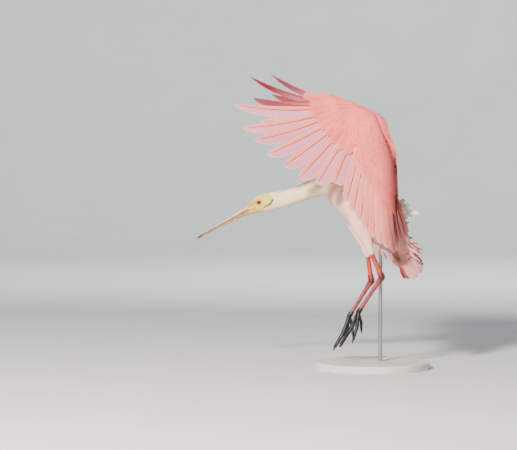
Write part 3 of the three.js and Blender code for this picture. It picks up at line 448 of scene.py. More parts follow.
# Materials.
class Look:
    """A material with a shader and short calls for its nodes."""

    def __init__(self, name, roughness=0.6, **sockets):
        self.material = bpy.data.materials.new(name)
        self.material.use_nodes = True
        self.tree = self.material.node_tree
        self.shader = next(n for n in self.tree.nodes if n.type == "BSDF_PRINCIPLED")
        self.shader.inputs["Roughness"].default_value = roughness
        for key, value in sockets.items():
            self.shader.inputs[key.replace("_", " ").title().replace("Ior", "IOR")].default_value = value

    def feed(self, socket, value):
        """Gives a socket a link, a number, a vector or a colour as text."""
        if isinstance(value, bpy.types.NodeSocket):
            self.tree.links.new(value, socket)
        else:
            socket.default_value = rgb(value) if isinstance(value, str) else value

    def put(self, kind, inputs=(), out=0, **settings):
        node = self.tree.nodes.new("ShaderNode" + kind)
        for key, value in settings.items():
            setattr(node, key, value)
        for key, value in dict(inputs).items():
            self.feed(node.inputs[key], value)
        return node.outputs[out]

    def number(self, name):
        return self.put("Attribute", attribute_name=name, out="Fac")

    def place(self):
        return self.put("TexCoord", out="Object")

    def axis(self, vector, name):
        return self.put("SeparateXYZ", {0: vector}, out=name)

    def sums(self, operation, a, b=0.0, c=0.0, clamp=False):
        return self.put("Math", {0: a, 1: b, 2: c}, operation=operation, use_clamp=clamp)

    def span(self, value, low, high, to_low=0.0, to_high=1.0):
        ends = {"Value": value, "From Min": low, "From Max": high, "To Min": to_low, "To Max": to_high}
        return self.put("MapRange", ends, interpolation_type="SMOOTHSTEP")

    def noise(self, scale, where=None, detail=3.0, rough=0.5):
        where = self.place() if where is None else where
        return self.put("TexNoise", {"Vector": where, "Scale": scale, "Detail": detail, "Roughness": rough}, out="Fac")

    def blend(self, share, a, b):
        node = self.tree.nodes.new("ShaderNodeMix")
        node.data_type = "RGBA"
        sockets = {socket.name: socket for socket in node.inputs if socket.enabled}
        for name, value in (("Factor", share), ("A", a), ("B", b)):
            self.feed(sockets[name], value)
        return next(out for out in node.outputs if out.enabled)

    def coats(self, colour, *layers):
        """Lays colours over another in turn, each layer a share and a colour."""
        for share, over in layers:
            colour = self.blend(share, colour, over)
        return colour

    def set(self, socket, value):
        self.tree.links.new(value, self.shader.inputs[socket])

    def bump(self, height, strength, distance):
        inputs = {"Height": height, "Strength": strength, "Distance": distance}
        self.set("Normal", self.put("Bump", inputs, out="Normal"))


def rgb(text):
    """A colour as shown on a screen, as the shader wants it."""
    values = [int(text[i:i + 2], 16) / 255 for i in (0, 2, 4)]
    return tuple(v / 12.92 if v < 0.04045 else ((v + 0.055) / 1.055) ** 2.4 for v in values) + (1.0,)


def feather_look(name, outer, inner, edge, quill, deep, streak, cloud=0.3):
    """Vanes with barbs, pale worn margins and a coloured shaft; deep is the darker colour that tint brings in."""
    look = Look(name, roughness=0.62, specular_ior_level=0.25, sheen_weight=0.05, sheen_roughness=0.5)
    uv = look.put("UVMap", uv_map="Feather")
    q = look.sums("MULTIPLY_ADD", look.axis(uv, "X"), 2.0, -1.0)
    along, off = look.axis(uv, "Y"), look.sums("ABSOLUTE", q)
    tone, barbs = look.number("tone"), look.number("barb")
    where = look.put("CombineXYZ", {
        "X": look.sums("MULTIPLY", barbs, 0.5), "Y": look.sums("MULTIPLY", off, 1.6),
        "Z": look.sums("MULTIPLY", tone, 50.0),
    })
    streaks = look.noise(1.3, where, detail=5.0, rough=0.65)
    clouds = look.noise(24, detail=4, rough=0.6)
    look.set("Base Color", look.coats(
        look.blend(look.span(q, -0.12, 0.12), outer, inner),
        (look.span(streaks, 0.35, 0.75, 0.0, streak), deep),
        (look.span(tone, 0.0, 1.0, 0.0, 0.22), edge),
        (look.span(clouds, 0.42, 0.62, 0.0, cloud), deep),
        (look.span(clouds, 0.5, 0.36, 0.0, cloud), edge),
        (look.sums("MAXIMUM", look.span(off, 0.7, 1.0, 0.0, 0.6), look.span(along, 0.9, 1.0, 0.0, 0.5)), edge),
        # tint brings in the deep colour, in places partly painted shade or painted light shining through the vanes
        (look.sums("MULTIPLY", look.number("tint"), look.span(along, 0.2, 0.75, 0.55, 1.0)), deep),
        (look.span(off, 0.02, 0.11, 0.65, 0.0), quill),
        (look.number("shaft"), quill),
    ))
    ridges = look.sums("SINE", look.sums("MULTIPLY", barbs, 2 * math.pi / BARB))
    look.bump(look.sums("MULTIPLY_ADD", ridges, 0.35, look.sums("MULTIPLY", streaks, 1.2)), 0.35, 0.0004)
    return look.material


# Pieces.
def gap_to(x, z, line):
    """Distance to a line through points, and how far along it, 0 to 1."""
    line = np.asarray(line, float)
    best, along = np.full(np.shape(x), 1e9), np.zeros(np.shape(x))
    for i, (a, b) in enumerate(zip(line[:-1], line[1:])):
        run = b - a
        share = np.clip(((x - a[0]) * run[0] + (z - a[1]) * run[1]) / (run @ run), 0, 1)
        gap = np.hypot(x - a[0] - run[0] * share, z - a[1] - run[1] * share)
        along = np.where(gap < best, (i + share) / (len(line) - 1), along)
        best = np.minimum(best, gap)
    return best, along


def coat_front(z):
    """How far forward the feathers reach on the head at each height."""
    return np.interp(z, *zip(*COAT_FRONT))


def head_relief(x, z, angle):
    """The folds of the bare head, in millimetres off its plain form."""
    on_side = smooth((np.abs(np.sin(angle)) - 0.25) / 0.4)
    from_eye = np.hypot(x - EYE["x"], z - EYE["z"])
    above = (z - EYE["z"]) / np.maximum(from_eye, 1)
    relief = 1.5 * bell(from_eye - 6.5, 2.6) - 0.5 * bell(from_eye - 10.6, 0.9)
    relief = relief + 0.9 * bell(from_eye - 13, 2) * np.clip(above, 0, 1) - 0.35 * bell(from_eye - 8.3, 0.45)
    relief = np.where(from_eye < 5, -2.0, relief)
    for line, depth, width in FACE_GROOVES:
        gap, along = gap_to(x, z, line)
        fade = np.sqrt(np.clip(4 * along * (1 - along), 0.15, 1))
        relief = relief - depth * fade * bell(gap, width) + 0.45 * depth * fade * bell(gap - 2.2 * width, width)
    wrinkles = 0.16 * wavy((x * 0.45 - z) / 1.15, 2) * bell(from_eye - 13, 9) + 0.1 * wavy((x + 0.8 * z) / 0.8, 5)
    crown = 0.22 * wavy(x / 1.7 + 2.5 * np.sin(3 * angle), 4) * (1 - on_side)
    edge = BILL_LIP["x"] - BILL_LIP["slope"] * np.cos(2 * angle) + 0.8 * wavy(3 * angle, 2)
    lip = 0.3 * smooth((-313 - x) / 6) - BILL_LIP["drop"] * smooth((edge + 2.5 - x) / 5)
    return (relief + wrinkles) * on_side * smooth((x + 325) / 6) + crown + lip


def skin_piece():
    """Head, neck, trunk, arms and legs as one closed body under the coat."""
    angle = turns(SIDES["skin"])[None]
    head = np.arange(body_arc(0.15), body_arc(NAPE + 0.4), 0.6)
    rest = np.arange(head[-1] + 3, body_arc(len(BODY) - 1), 4)
    t = body_t(np.concatenate([head, rest]))[:, None]
    plain = body_point(t, angle)
    relief = head_relief(plain[..., 0], plain[..., 2], angle) * (1 - smooth((t - NAPE + 0.3) / 0.6))
    bodies = [loft(body_point(t, angle, relief - coat_depth(t)))]
    for side in (LEFT, RIGHT):
        bodies += [*lids(side), web_loft(side)]
    bodies += [leg_loft(leg) for leg in LEGS.values()]
    for side in (LEFT, RIGHT):
        bodies += [arm_loft(side), shoulder_loft(side)]
    return bodies


def lids(side):
    """The lids, each a low roll of skin that lies on the eyeball or round it."""
    centre = np.array([EYE["x"], side * eye_depth(), EYE["z"]])
    rolls = []
    for low, high, reach, thick in LIDS:
        a = np.linspace(low, high, 90)[:, None]
        b = turns(SIDES["lid"])[None]
        end = np.sqrt(np.clip(np.sin(np.pi * (a - low) / (high - low)), 0.12, 1))
        size = thick * end * (1 + 0.14 * wavy(a * 9, 2 + reach[0]))
        ring = reach[0] * np.cos(a), reach[1] * np.sin(a)
        tilt = EYE["lean"]
        px = ring[0] * math.cos(tilt) - ring[1] * math.sin(tilt)
        pz = ring[0] * math.sin(tilt) + ring[1] * math.cos(tilt)
        far = np.hypot(px, pz)
        out = np.sqrt(np.maximum(EYE["radius"] ** 2 - far**2, 0)) + np.maximum(0, 1.0 - 0.3 * (far - 6))
        wx, wz = px / far, pz / far
        rings = centre + np.stack([
            px + wx * size * np.cos(b), side * (out + 0.7 * size * np.sin(b)), pz + wz * size * np.cos(b)
        ], -1)
        rolls.append(loft(rings))
    return rolls


def web_point(side, s, a, lift=0.0):
    """The skin web before the elbow: s runs from shoulder to wrist, a from its front edge back."""
    s, a, lift = np.broadcast_arrays(np.asarray(s, float), a, lift)
    elbow, wrist, level = WEB_SKIN["elbow"], WEB_SKIN["wrist"], WEB_SKIN["lift"]
    start = np.array(WEB_SKIN["shoulder"], float) * [1, side, 1]
    back = wing_point(side, mix(elbow[0], wrist[0], s), mix(elbow[1], wrist[1], s), level + 0 * s)
    front = start + (wing_point(side, *WEB_SKIN["front"]) - start) * s[..., None]
    front = front + (back - front) * (WEB_SKIN["hollow"] * np.sin(np.pi * s) + WEB_SKIN["back"])[..., None]
    along = unit(wing_point(side, *wrist, level) - wing_point(side, *elbow, level))
    return front + (back - front) * a[..., None] + unit(np.cross(back - front, along)) * lift[..., None]


def web_loft(side):
    a = np.concatenate([np.linspace(0, 1, 14), np.linspace(1, 0, 14)])[None]
    half = mix(0.7, 1.9, a) * np.where(np.arange(28) < 14, 1, -1)[None]
    return loft(web_point(side, np.linspace(0.03, 0.98, 44)[:, None], a, half))


def leg_spot(leg, name, out=LEG_SIDE):
    """A named place of a leg as a point."""
    x, z = leg[name]
    return np.array([x, leg["side"] * out, z], float)


def leg_table(leg):
    """Stations down a leg: x, y, z, radius."""
    knee, cuff = leg_spot(leg, "knee", KNEE_SIDE), leg_spot(leg, "cuff")
    ankle, foot = leg_spot(leg, "ankle"), leg_spot(leg, "foot")
    rows = []
    for a, b, stops in (
        (knee, cuff, ((-0.36, 17), (0, 25), (0.3, 21.5), (0.6, 13.5), (0.85, 8.4))),
        (cuff, ankle, ((0.05, 6.5), (0.35, 5.9), (0.65, 6.2), (0.85, 7.8))),
        (ankle, foot, ((0.0, 8.6), (0.14, 6.9), (0.35, 5.2), (0.65, 4.9), (0.9, 5.4))),
    ):
        rows += [[*mix(a, b, s), r] for s, r in stops]
    down = (foot - ankle) / np.linalg.norm(foot - ankle)
    rows += [[*(foot + down * 2), 6.8], [*(foot + down * 9), 6.4]]
    return np.array(rows)


def scales(arc, angle, size, count):
    """Low scales in a honeycomb over a limb, between -0.5 and 1."""
    a = 2 * np.pi * arc / size
    return (np.cos(a) + 2 * np.cos(a / 2) * np.cos(count * angle)) / 3


def thigh_flat(t):
    """How much flatter the thigh is than a round limb, at a station down the leg."""
    return mix(0.8, 1.0, smooth((t - 2) / 2.5))


def leg_loft(leg):
    table = leg_table(leg)
    arc_of, places = limb_arc(table)
    t = np.interp(np.concatenate([np.arange(0, 90, 3), np.arange(90, arc_of[-1], 0.5)]), arc_of, places)[:, None]
    angle = turns(SIDES["leg"])[None]
    bare = smooth((t - 4.6) / 0.6)
    arc = np.interp(t, places, arc_of)
    knob = 0.5 * bell(t - 9.0, 0.9) * wavy(arc / 2.4 + 2 * np.sin(angle), 3)
    relief = 0.16 * scales(arc, angle, 3.4, 11) + 0.18 * wavy(arc / 6 + 3 * np.cos(angle), 1) + knob
    return loft(limb_point(table, t, angle, thigh_flat(t), relief * bare))


def limb_arc(table):
    """Distances down a limb, and the stations they fall on."""
    places = np.linspace(0, len(table) - 1, 600)
    return arc_lengths(stations(table, places)[:, :3]), places


def arm_line(t):
    """The arm's stations, and the direction on the sheet back to the feathers, along the arm."""
    row = stations(ARM, t)
    a, b = stations(ARM, t - 0.1), stations(ARM, t + 0.1)
    run = unit(b[..., :2] - a[..., :2])
    return row, np.stack([-run[..., 1], run[..., 0]], -1)


def arm_surface(side, t, angle, grow=0.0):
    t, angle, grow = np.broadcast_arrays(t, angle, grow)
    row, across = arm_line(t)
    reach = (row[..., 2] + grow) * np.cos(angle)
    rise = row[..., 4] + (row[..., 3] + grow) * np.sin(angle)
    return wing_point(side, row[..., 0] + across[..., 0] * reach, row[..., 1] + across[..., 1] * reach, rise)


def arm_loft(side):
    t = np.linspace(0, len(ARM) - 1, 120)[:, None]
    return loft(arm_surface(side, t, turns(SIDES["arm"])[None], -2.0))


def shoulder_table(side):
    start = wing_point(side, *SHOULDER_END)
    inside = np.array([SHOULDER[0], side * 22, SHOULDER[1] - 12], float)
    return np.array([[*inside, 22], [*mix(inside, start, 0.55), 19], [*start, 12]])


def shoulder_loft(side):
    return loft(limb_point(shoulder_table(side), np.linspace(0, 2, 24)[:, None], turns(SIDES["arm"])[None]))


# Feathers of the wing.
def flight_list():
    """Flight feathers on the sheet, primaries first: root, tip, half widths, heights of root and tip, tilt, bow."""
    rows = []
    for i, degrees in enumerate(PRIMARY_ANGLES):
        t = i / (PRIMARIES - 1)
        a = math.radians(degrees)
        root = mix(*PRIMARY_ROOTS, t**0.75)
        tip = FAN + PRIMARY_REACH[i] * np.array([math.cos(a), math.sin(a)])
        width = PRIMARY_WIDTH[i]
        rows.append([*root, *tip, width * 0.3, width * 0.7, mix(-6.3, 0, t), 0, 0.12, 0.055 * (1 - t)])
    count = SECONDARIES + TERTIALS
    for i in range(count):
        t = i / (count - 1)
        upper = max(0, (i - SECONDARIES + 1) / TERTIALS)
        root = mix(*SECONDARY_ROOTS, i / (SECONDARIES - 1)) if i < SECONDARIES else mix(*TERTIAL_ROOTS, upper)
        drop = 128 * math.sin(min(1, t / 0.66) * math.pi / 2) - 36 * smooth((t - 0.62) / 0.38)
        width = mix(42, 34, upper)
        tip = mix(-61, 152, t), 433 - drop
        rows.append([*root, *tip, width * 0.4, width * 0.6, mix(0.7, 5, t), 1.5 * upper, 0.18, 0])
    return np.array(rows)


FLIGHT = flight_list()


def lie(u, z):
    """The way small feathers lie near a place on the sheet, from the flight feathers near it."""
    roots = FLIGHT[:, :2]
    ways = unit(FLIGHT[:, 2:4] - roots)
    apart = np.linalg.norm(np.stack([u, z], -1)[:, None] - roots[None], axis=-1)
    weight = 1 / (apart + 6) ** 3
    return unit((ways[None] * weight[..., None]).sum(1))


ARM_T = np.linspace(0, len(ARM) - 1, 201)
ARM_PATH = stations(ARM, ARM_T)
ARM_ARC = arc_lengths(ARM_PATH[:, :2])


def near_arm(u, z):
    """Signed distance behind the arm's line, and the arm's sizes there."""
    flat = np.stack([np.ravel(u), np.ravel(z)], -1)
    gap = ((flat[:, None] - ARM_PATH[None, :, :2]) ** 2).sum(-1)
    i = gap.argmin(1)
    row, across = arm_line(ARM_T[i])
    d = ((flat - row[:, :2]) * across).sum(-1)
    return d.reshape(np.shape(u)), row.reshape(np.shape(u) + (5,))


def top_height(u, z, under=False):
    """How high the arm and the feathers behind it stand off the sheet."""
    d, row = near_arm(u, z)
    wide, thick, lift = row[..., 2], row[..., 3], row[..., 4]
    round_part = np.sqrt(np.clip(1 - (np.minimum(d, 0) / wide) ** 2, 0, 1))
    if under:
        return (lift - thick * round_part) * mix(1, 0.12, smooth(d / 70))
    crest = lift + thick * round_part
    return np.where(d < 0, crest, mix(crest, 0.62 * crest, smooth(d / 95)))


def wing_bake(root):
    """Where roots fall on the flat unwrap of the wing's sheet."""
    return (np.asarray(root)[:, :2] - [-180, 380]) / [380, 380]


def strip_bake(n, first, total):
    """One strip of the map for each long feather."""
    centre = np.stack([(np.arange(first, first + n) + 0.5) / total, np.full(n, 0.5)], -1)
    return centre, (0.85 / total, 0.96)


def flight_piece(side, name, look):
    parts = []
    total = len(FLIGHT)
    for rows, low, high, splits in ((60, 0, PRIMARIES, 3), (52, PRIMARIES, total, 2)):
        f = FLIGHT[low:high]
        place, length = wing_place(side, f[:, :2], f[:, 2:4], (f[:, 6], f[:, 7]), f[:, 8], f[:, 9])
        tint = np.zeros(len(f))
        t = np.arange(len(f)) / (PRIMARIES - 1) if low == 0 else np.ones(len(f))
        # The outer primaries take the deep crimson: partly their own darker webs, partly painted colour of light
        # shining through them; the far wing's third one takes more of it.
        if low == 0:
            tint[:3] = (1.0, 0.85, 0.05) if side == LEFT else (0.95, 0.9, 0.6)
        parts += vanes(
            place, length, f[:, 4], f[:, 5], rows, 15, strip_bake(len(f), low, total), thick=0.4, bare=0.04,
            full=0.3, taper=mix(0.36, 0.76, t**0.7), blunt=mix(1.7, 0.8, t**0.7), slant=0.7, ragged=0.02,
            splits=splits, tint=tint, shaft=(1.7, 0.35), seed=3 + low,
        )
    return shell(parts, name, [look])


def covert_row(side, flight, back, share, lifts, tilt, half, rows, cols, bake, **more):
    """Coverts over flight feathers: each starts a little before their roots and reaches a share of their length."""
    run = flight[:, 2:4] - flight[:, :2]
    start = flight[:, :2] - unit(run) * back
    place, length = wing_place(side, start, start + run * share[:, None], lifts, tilt)
    return vanes(place, length, *half, rows, cols, bake, full=0.3, splits=1, **more)


def covert_rows(side, name, look):
    """The big coverts: primary, greater and median ones, and the alula."""
    inner = FLIGHT[PRIMARIES:]
    inner = np.concatenate([inner, (inner[:-1] + inner[1:]) / 2])
    inner = inner[np.argsort(inner[:, 2])]
    n, alula = len(inner), 3
    total = PRIMARIES + 2 * n + alula
    t, i = np.arange(PRIMARIES) / (PRIMARIES - 1), np.linspace(0, 1, n)
    far = smooth((i - 0.6) / 0.4)
    share = np.array([0.3, 0.3, 0.27, 0.3, 0.32, 0.36, 0.4, 0.44, 0.5, 0.56])
    width = mix(17, 24, t)
    parts = covert_row(side, FLIGHT[:PRIMARIES], 4, share, (mix(-0.5, 5, t), 4.4), 0.1, (width * 0.45, width * 0.6),
                       22, 11, strip_bake(PRIMARIES, 0, total), thick=0.4, taper=0.7, shaft=(0.8, 0.2), seed=21)
    share = mix(0.5, 0.58, smooth(i / 0.6)) * rng.uniform(0.98, 1.03, n)
    parts += covert_row(side, inner, 4, share, (7.0, 6.2 + 1.4 * far), 0.2, (12, 13), 26, 11,
                        strip_bake(n, PRIMARIES, total), thick=0.4, shaft=(0.9, 0.2), seed=22)
    share = mix(0.34, 0.38, i) * rng.uniform(0.96, 1.04, n)
    parts += covert_row(side, inner, 8, share, (11.0, 9.6 + 3 * far), 0.16, (12, 12), 20, 9,
                        strip_bake(n, PRIMARIES + n, total), taper=0.7, shaft=(0.6, 0.2), seed=23)
    k = np.arange(alula)
    root, tip = np.stack([-22 - 5 * k, 666 + 4 * k], -1), np.stack([-74 - 8 * k, 660 + 13 * k], -1)
    place, length = wing_place(side, root, tip, (4 - k, 8.6 - 0.5 * k), 0.1)
    parts += vanes(place, length, 6, 8, 20, 9, strip_bake(alula, total - alula, total), shaft=(0.7, 0.2), seed=24)
    return shell(parts, name, [look])


def covert_carmine_and_shade(u, z, start):
    """Shares of the deep colour at places on the sheet: under the wing, and by how much less above it; carmine coverts
    and painted shade together, fading in below the edge of the shadow that the near wing casts on the far wing.
    """
    below = smooth((COVERT_CARMINE_AND_SHADE["z"] - z) / COVERT_CARMINE_AND_SHADE["fade"])
    return below, COVERT_CARMINE_AND_SHADE["upper"] * smooth((u - start) / COVERT_CARMINE_AND_SHADE["fade_u"])


def small_coverts(side, name, look):
    """Rows of small coverts on the arm, above and below, from the leading edge back."""
    parts = []
    for under in (False, True):
        roots, sizes = [], []
        for d, size, reach in COVERT_ROWS:
            step = size * 0.22
            t_row = np.arange(0.4 + rng.random() * 0.2, reach, step / 32)
            row, across = arm_line(t_row)
            place_d = d * row[:, 2] / 14 if d < 0 else d + 0 * t_row
            spot = row[:, :2] + across * place_d[:, None] + rng.normal(0, 1.2, (len(t_row), 2))
            shrink = np.clip(row[:, 2] / 14, 0.55, 1)
            roots.append(spot)
            sizes.append(size * shrink * rng.uniform(0.9, 1.12, len(t_row)))
        root, size = np.concatenate(roots), np.concatenate(sizes)
        way = lie(root[:, 0], root[:, 1]) + rng.normal(0, 0.07, root.shape)
        up = -1 if under else 1
        place, length = wing_place(
            side, root, root + unit(way) * size[:, None], (-1.4 * up, 0.9 * up), 0.05 * up,
            height=lambda u, z, low=under: top_height(u, z, low),
        )
        bake = wing_bake(root) * [0.5, 1] + [0.5 * under, 0]
        # Below a height, and on top behind a line, these coverts take the deep colour: carmine and painted shade.
        below, behind = covert_carmine_and_shade(root[:, 0], root[:, 1], COVERT_CARMINE_AND_SHADE["small_u"])
        parts += vanes(
            place, length, size * 0.25, size * 0.25, 7, 5, (bake, SMALL_MAP), thick=0.12, bare=-0.2, full=0.3,
            taper=0.45, slant=0.5, ragged=0.05, camber=0.03,
            tint=below * (COVERT_CARMINE_AND_SHADE["under"] if under else behind), seed=31 + under,
        )
    return shell(parts, name, [look])


def staggered(arc, last, step, count, sway, drift, draw):
    """Roots in rows round a form, each row half a feather on from the last: distance along it and angle round it."""
    arcs, angles = [], []
    while arc < last:
        n, ahead = count(arc), step(arc)
        angles.append((np.arange(n) + 0.5 * (len(arcs) % 2) + draw.normal(0, sway, n)) * 2 * np.pi / n)
        arcs.append(arc + draw.normal(0, drift * ahead, n))
        arc += ahead
    return np.concatenate(arcs), np.concatenate(angles)


def from_top(angle):
    return (angle + np.pi) % (2 * np.pi) - np.pi


def coat_bake(along, angle):
    """Where roots fall on an unwrap of a form: share along it, and angle round it."""
    return np.stack([along, (angle / (2 * np.pi)) % 1 * 0.96 + 0.02], -1)


def body_coat(name, look, low, high, step, around, size, wide, rows, cols, seed, ruffle=0.0, keep=None,
              ragged=0.06, above=0.0, tint=0.0):
    """Feathers in rows round the body between two stations, all lying towards the tail."""
    draw = np.random.default_rng(seed)

    def count(arc):
        _, _, depth, width, _ = stations(BODY, body_t(arc))
        return int(math.pi * (depth + width) / around(body_t(arc)))

    arc0, angle0 = staggered(body_arc(low), body_arc(high), lambda arc: step(body_t(arc)), count, 0.12, 0.25, draw)
    if keep is not None:
        chosen = keep(body_t(arc0), from_top(angle0), draw)
        arc0, angle0 = arc0[chosen], angle0[chosen]
    t0 = body_t(arc0)
    length = size(t0) * draw.uniform(0.88, 1.15, len(arc0))
    width = wide(t0) * draw.uniform(0.9, 1.1, len(arc0))
    skew = draw.normal(0, 0.06, len(arc0))
    row = stations(BODY, t0)
    metric = np.sqrt((row[:, 2] * np.sin(angle0)) ** 2 + (row[:, 3] * np.cos(angle0)) ** 2)
    raise_tip = draw.normal(0, 0.05, len(arc0))
    raise_tip += ruffle * np.clip(wavy(arc0 / 5.5, 3) + 0.2, 0, 1) * bell(from_top(angle0), 0.55)

    def place(s, t, h):
        arc = each(arc0) + s * each(length)
        tt = body_t(arc)
        angle = each(angle0) + (t + s * each(length * skew)) / each(metric)
        depth = coat_depth(tt)
        height = above * s - depth + 0.3 + (np.maximum(depth, 1.1) - 0.6) * settle(s) + each(raise_tip) * s + h
        return body_point(tt, angle, height)

    bake = coat_bake(arc0 / BODY_ARC[-1] * 0.96 + 0.02, angle0)
    # tint darkens the coat from a station on: pinker plumage and painted shade.
    parts = vanes(place, length, width / 2, width / 2, rows, cols, (bake, SMALL_MAP), ragged=ragged,
                  tint=tint * smooth((t0 - BODY_PINK_AND_SHADE["from"]) / BODY_PINK_AND_SHADE["over"]), seed=seed + 1, **SMALL_FEATHER)
    return shell(parts, name, [look])


def behind_face(t, angle, draw):
    x, _, z = np.moveaxis(body_point(t, angle), -1, 0)
    return x > coat_front(z) + draw.normal(0.4, 0.7, len(t))


def limb_feathers(table, low, high, step, around, lengths, widths, rise, seed, bake_from, flat=None):
    """Small feathers down a limb between two stations; lengths and widths go by its radius."""
    arc_of, places = limb_arc(table)
    draw = np.random.default_rng(seed)

    def to_t(arc):
        return np.interp(arc, arc_of, places)

    def count(arc):
        return int(2 * math.pi * stations(table, to_t(arc))[3] / around) + 4

    first, last = np.interp([low, high], places, arc_of)
    arc0, angle0 = staggered(first, last, lambda arc: step, count, 0.15, 0.3, draw)
    radius = stations(table, to_t(arc0))[:, 3]
    length = np.interp(radius, [6, 25], lengths) * draw.uniform(0.85, 1.15, len(arc0))
    width = np.interp(radius, [6, 25], widths)
    raise_tip = draw.normal(0, 0.08, len(arc0))

    def place(s, t, h):
        tt = to_t(each(arc0) + s * each(length))
        angle = each(angle0) + t / each(radius)
        up = 0.2 + rise * settle(s) + each(raise_tip) * s + h
        return limb_point(table, tt, angle, flat(tt) if flat else 1.0, up)

    bake = coat_bake(arc0 / arc_of[-1] * 0.48 + 0.01 + bake_from, angle0)
    return vanes(place, length, width / 2, width / 2, 5, 5, (bake, SMALL_MAP), ragged=0.08, seed=seed + 10,
                 **SMALL_FEATHER)


def leg_coat(name, look):
    parts = []
    for i, leg in enumerate(LEGS.values()):
        parts += limb_feathers(leg_table(leg), 0.5, 4.3, 3.1, 3.9, (13, 22), (4.4, 7.6), 2.4, 50 + i, 0.5 * i,
                               thigh_flat)
        parts += limb_feathers(leg_table(leg), 4.0, 4.9, 2.0, 1.4, (8, 13), (1.8, 3.0), 2.6, 56 + i, 0.5 * i)
    return shell(parts, name, [look])


def shoulder_coat(name, look):
    parts = []
    for i, side in enumerate((LEFT, RIGHT)):
        parts += limb_feathers(shoulder_table(side), 0.1, 1.9, 4, 4.6, (15, 20), (8, 9), 2.2, 54 + i, 0.5 * i)
    return shell(parts, name, [look])


def edge_coverts(side, name, look):
    """Feathers that wrap the arm's leading edge, and those on both faces of the skin web."""
    draw = np.random.default_rng(41)
    arc0, turn0, way = [], [], []
    for degrees, towards in EDGE_ROWS:
        arcs = np.arange(4 + draw.random() * 3, ARM_ARC[-1] - 3, 3.8)
        arc0.append(arcs)
        turn0.append(np.radians(degrees) + draw.normal(0, 0.05, len(arcs)))
        way.append(np.full(len(arcs), towards))
    arc0, turn0, way = (np.concatenate(x) for x in (arc0, turn0, way))
    t0 = np.interp(arc0, ARM_ARC, ARM_T)
    row = arm_line(t0)[0]
    size = 15 * np.clip(row[:, 2] / 15, 0.45, 1) * draw.uniform(0.9, 1.1, len(arc0))
    radius = (row[:, 2] + row[:, 3]) / 2

    def place(s, t, h):
        t_arm = np.interp(each(arc0) + s * each(size) * 0.55 + t * each(-way), ARM_ARC, ARM_T)
        angle = each(turn0) + each(way) * (s * each(size) * 0.85) / each(radius)
        return arm_surface(side, t_arm, angle, -1.6 + 1.9 * settle(s) + h)

    facing = side * (arm_surface(side, t0, turn0, 0)[..., 1] - arm_surface(side, t0, turn0 + np.pi, 0)[..., 1])
    # The deep colour here is carmine and painted shade too, full on the faces that look in under the wing.
    below, behind = covert_carmine_and_shade(row[:, 0], row[:, 1], COVERT_CARMINE_AND_SHADE["edge_u"])
    tint = below * np.where(facing < 0, 1, behind)
    bake = np.stack([arc0 / ARM_ARC[-1] * 0.96 + 0.02, 0.02 + 0.25 * turn0 / (2 * np.pi)], -1)
    form = dict(thick=0.1, bare=-0.2, full=0.3, taper=0.45, slant=0.4, ragged=0.06, camber=0.02)
    parts = vanes(place, size, size * 0.24, size * 0.24, 6, 5, (bake, SMALL_MAP), tint=tint, seed=43, **form)
    for face in (1, -1):
        s0, a0 = [], []
        for s_row in np.arange(0.035, 0.97, 0.032):
            width = np.linalg.norm(web_point(side, s_row, 1.0) - web_point(side, s_row, 0.0))
            a_row = np.arange(-3.0, width, 5.0) / width
            a0.append(a_row)
            s0.append(s_row + draw.normal(0, 0.004, len(a_row)))
        s0, a0 = np.concatenate(s0), np.concatenate(a0)
        width = np.linalg.norm(web_point(side, s0, 1.0) - web_point(side, s0, 0.0), axis=-1)
        size = 15 * draw.uniform(0.9, 1.1, len(s0))

        def web_place(s, t, h):
            a = each(a0) + s * each(size / width)
            half = mix(0.7, 1.9, np.clip(a, 0, 1)) + 0.2 + 0.9 * settle(s) + h
            return web_point(side, each(s0) + t / 160 * face, a, face * half)

        bake = np.stack([s0 * 0.96 + 0.02, 0.35 + 0.3 * (face < 0) + 0.25 * np.clip(a0, 0, 1)], -1)
        parts += vanes(web_place, size, size * 0.27, size * 0.27, 5, 5, (bake, SMALL_MAP), seed=44 + face, **form)
    return shell(parts, name, [look])


def tail_axes():
    along = np.array([math.cos(TAIL["slope"]), 0, math.sin(TAIL["slope"])])
    up = np.array([-along[2], 0, along[0]])
    side = np.array([0, math.cos(TAIL["roll"]), 0]) + up * math.sin(TAIL["roll"])
    return along, side, -unit(np.cross(side, along))


def tail_row(index, share, width, lift, sunk, rows, cols, bake, draw, **more):
    along, side, off = tail_axes()
    index = np.asarray(index, float)
    across01 = index / (TAIL["feathers"] - 1)
    turn = mix(-TAIL["spread"], TAIL["spread"], across01)
    out = np.abs(across01 - 0.5) * 2
    direction = along * np.cos(turn)[:, None] + side * np.sin(turn)[:, None]
    across = side * np.cos(turn)[:, None] - along * np.sin(turn)[:, None]
    start = np.array([TAIL["root"][0], 0, TAIL["root"][1]])
    root = start + side * mix(-TAIL["half"], TAIL["half"], across01)[:, None] - direction * sunk
    length = TAIL["length"] * share * (1 - 0.07 * out**2) * draw.uniform(0.97, 1.03, len(index))
    outward_way = np.sign(across01 - 0.5)

    def place(s, t, h):
        drop = each(lift) + each((1 - out) * 6) + t * each(outward_way) * 0.07 - 6 * s**2 * each(out) + h
        s, t, drop = np.broadcast_arrays(s, t, drop)
        return (
            root[:, None, None] + direction[:, None, None] * (s * each(length))[..., None]
            + across[:, None, None] * t[..., None] + off * drop[..., None]
        )

    return vanes(place, length, width / 2, width / 2, rows, cols, bake, **more)


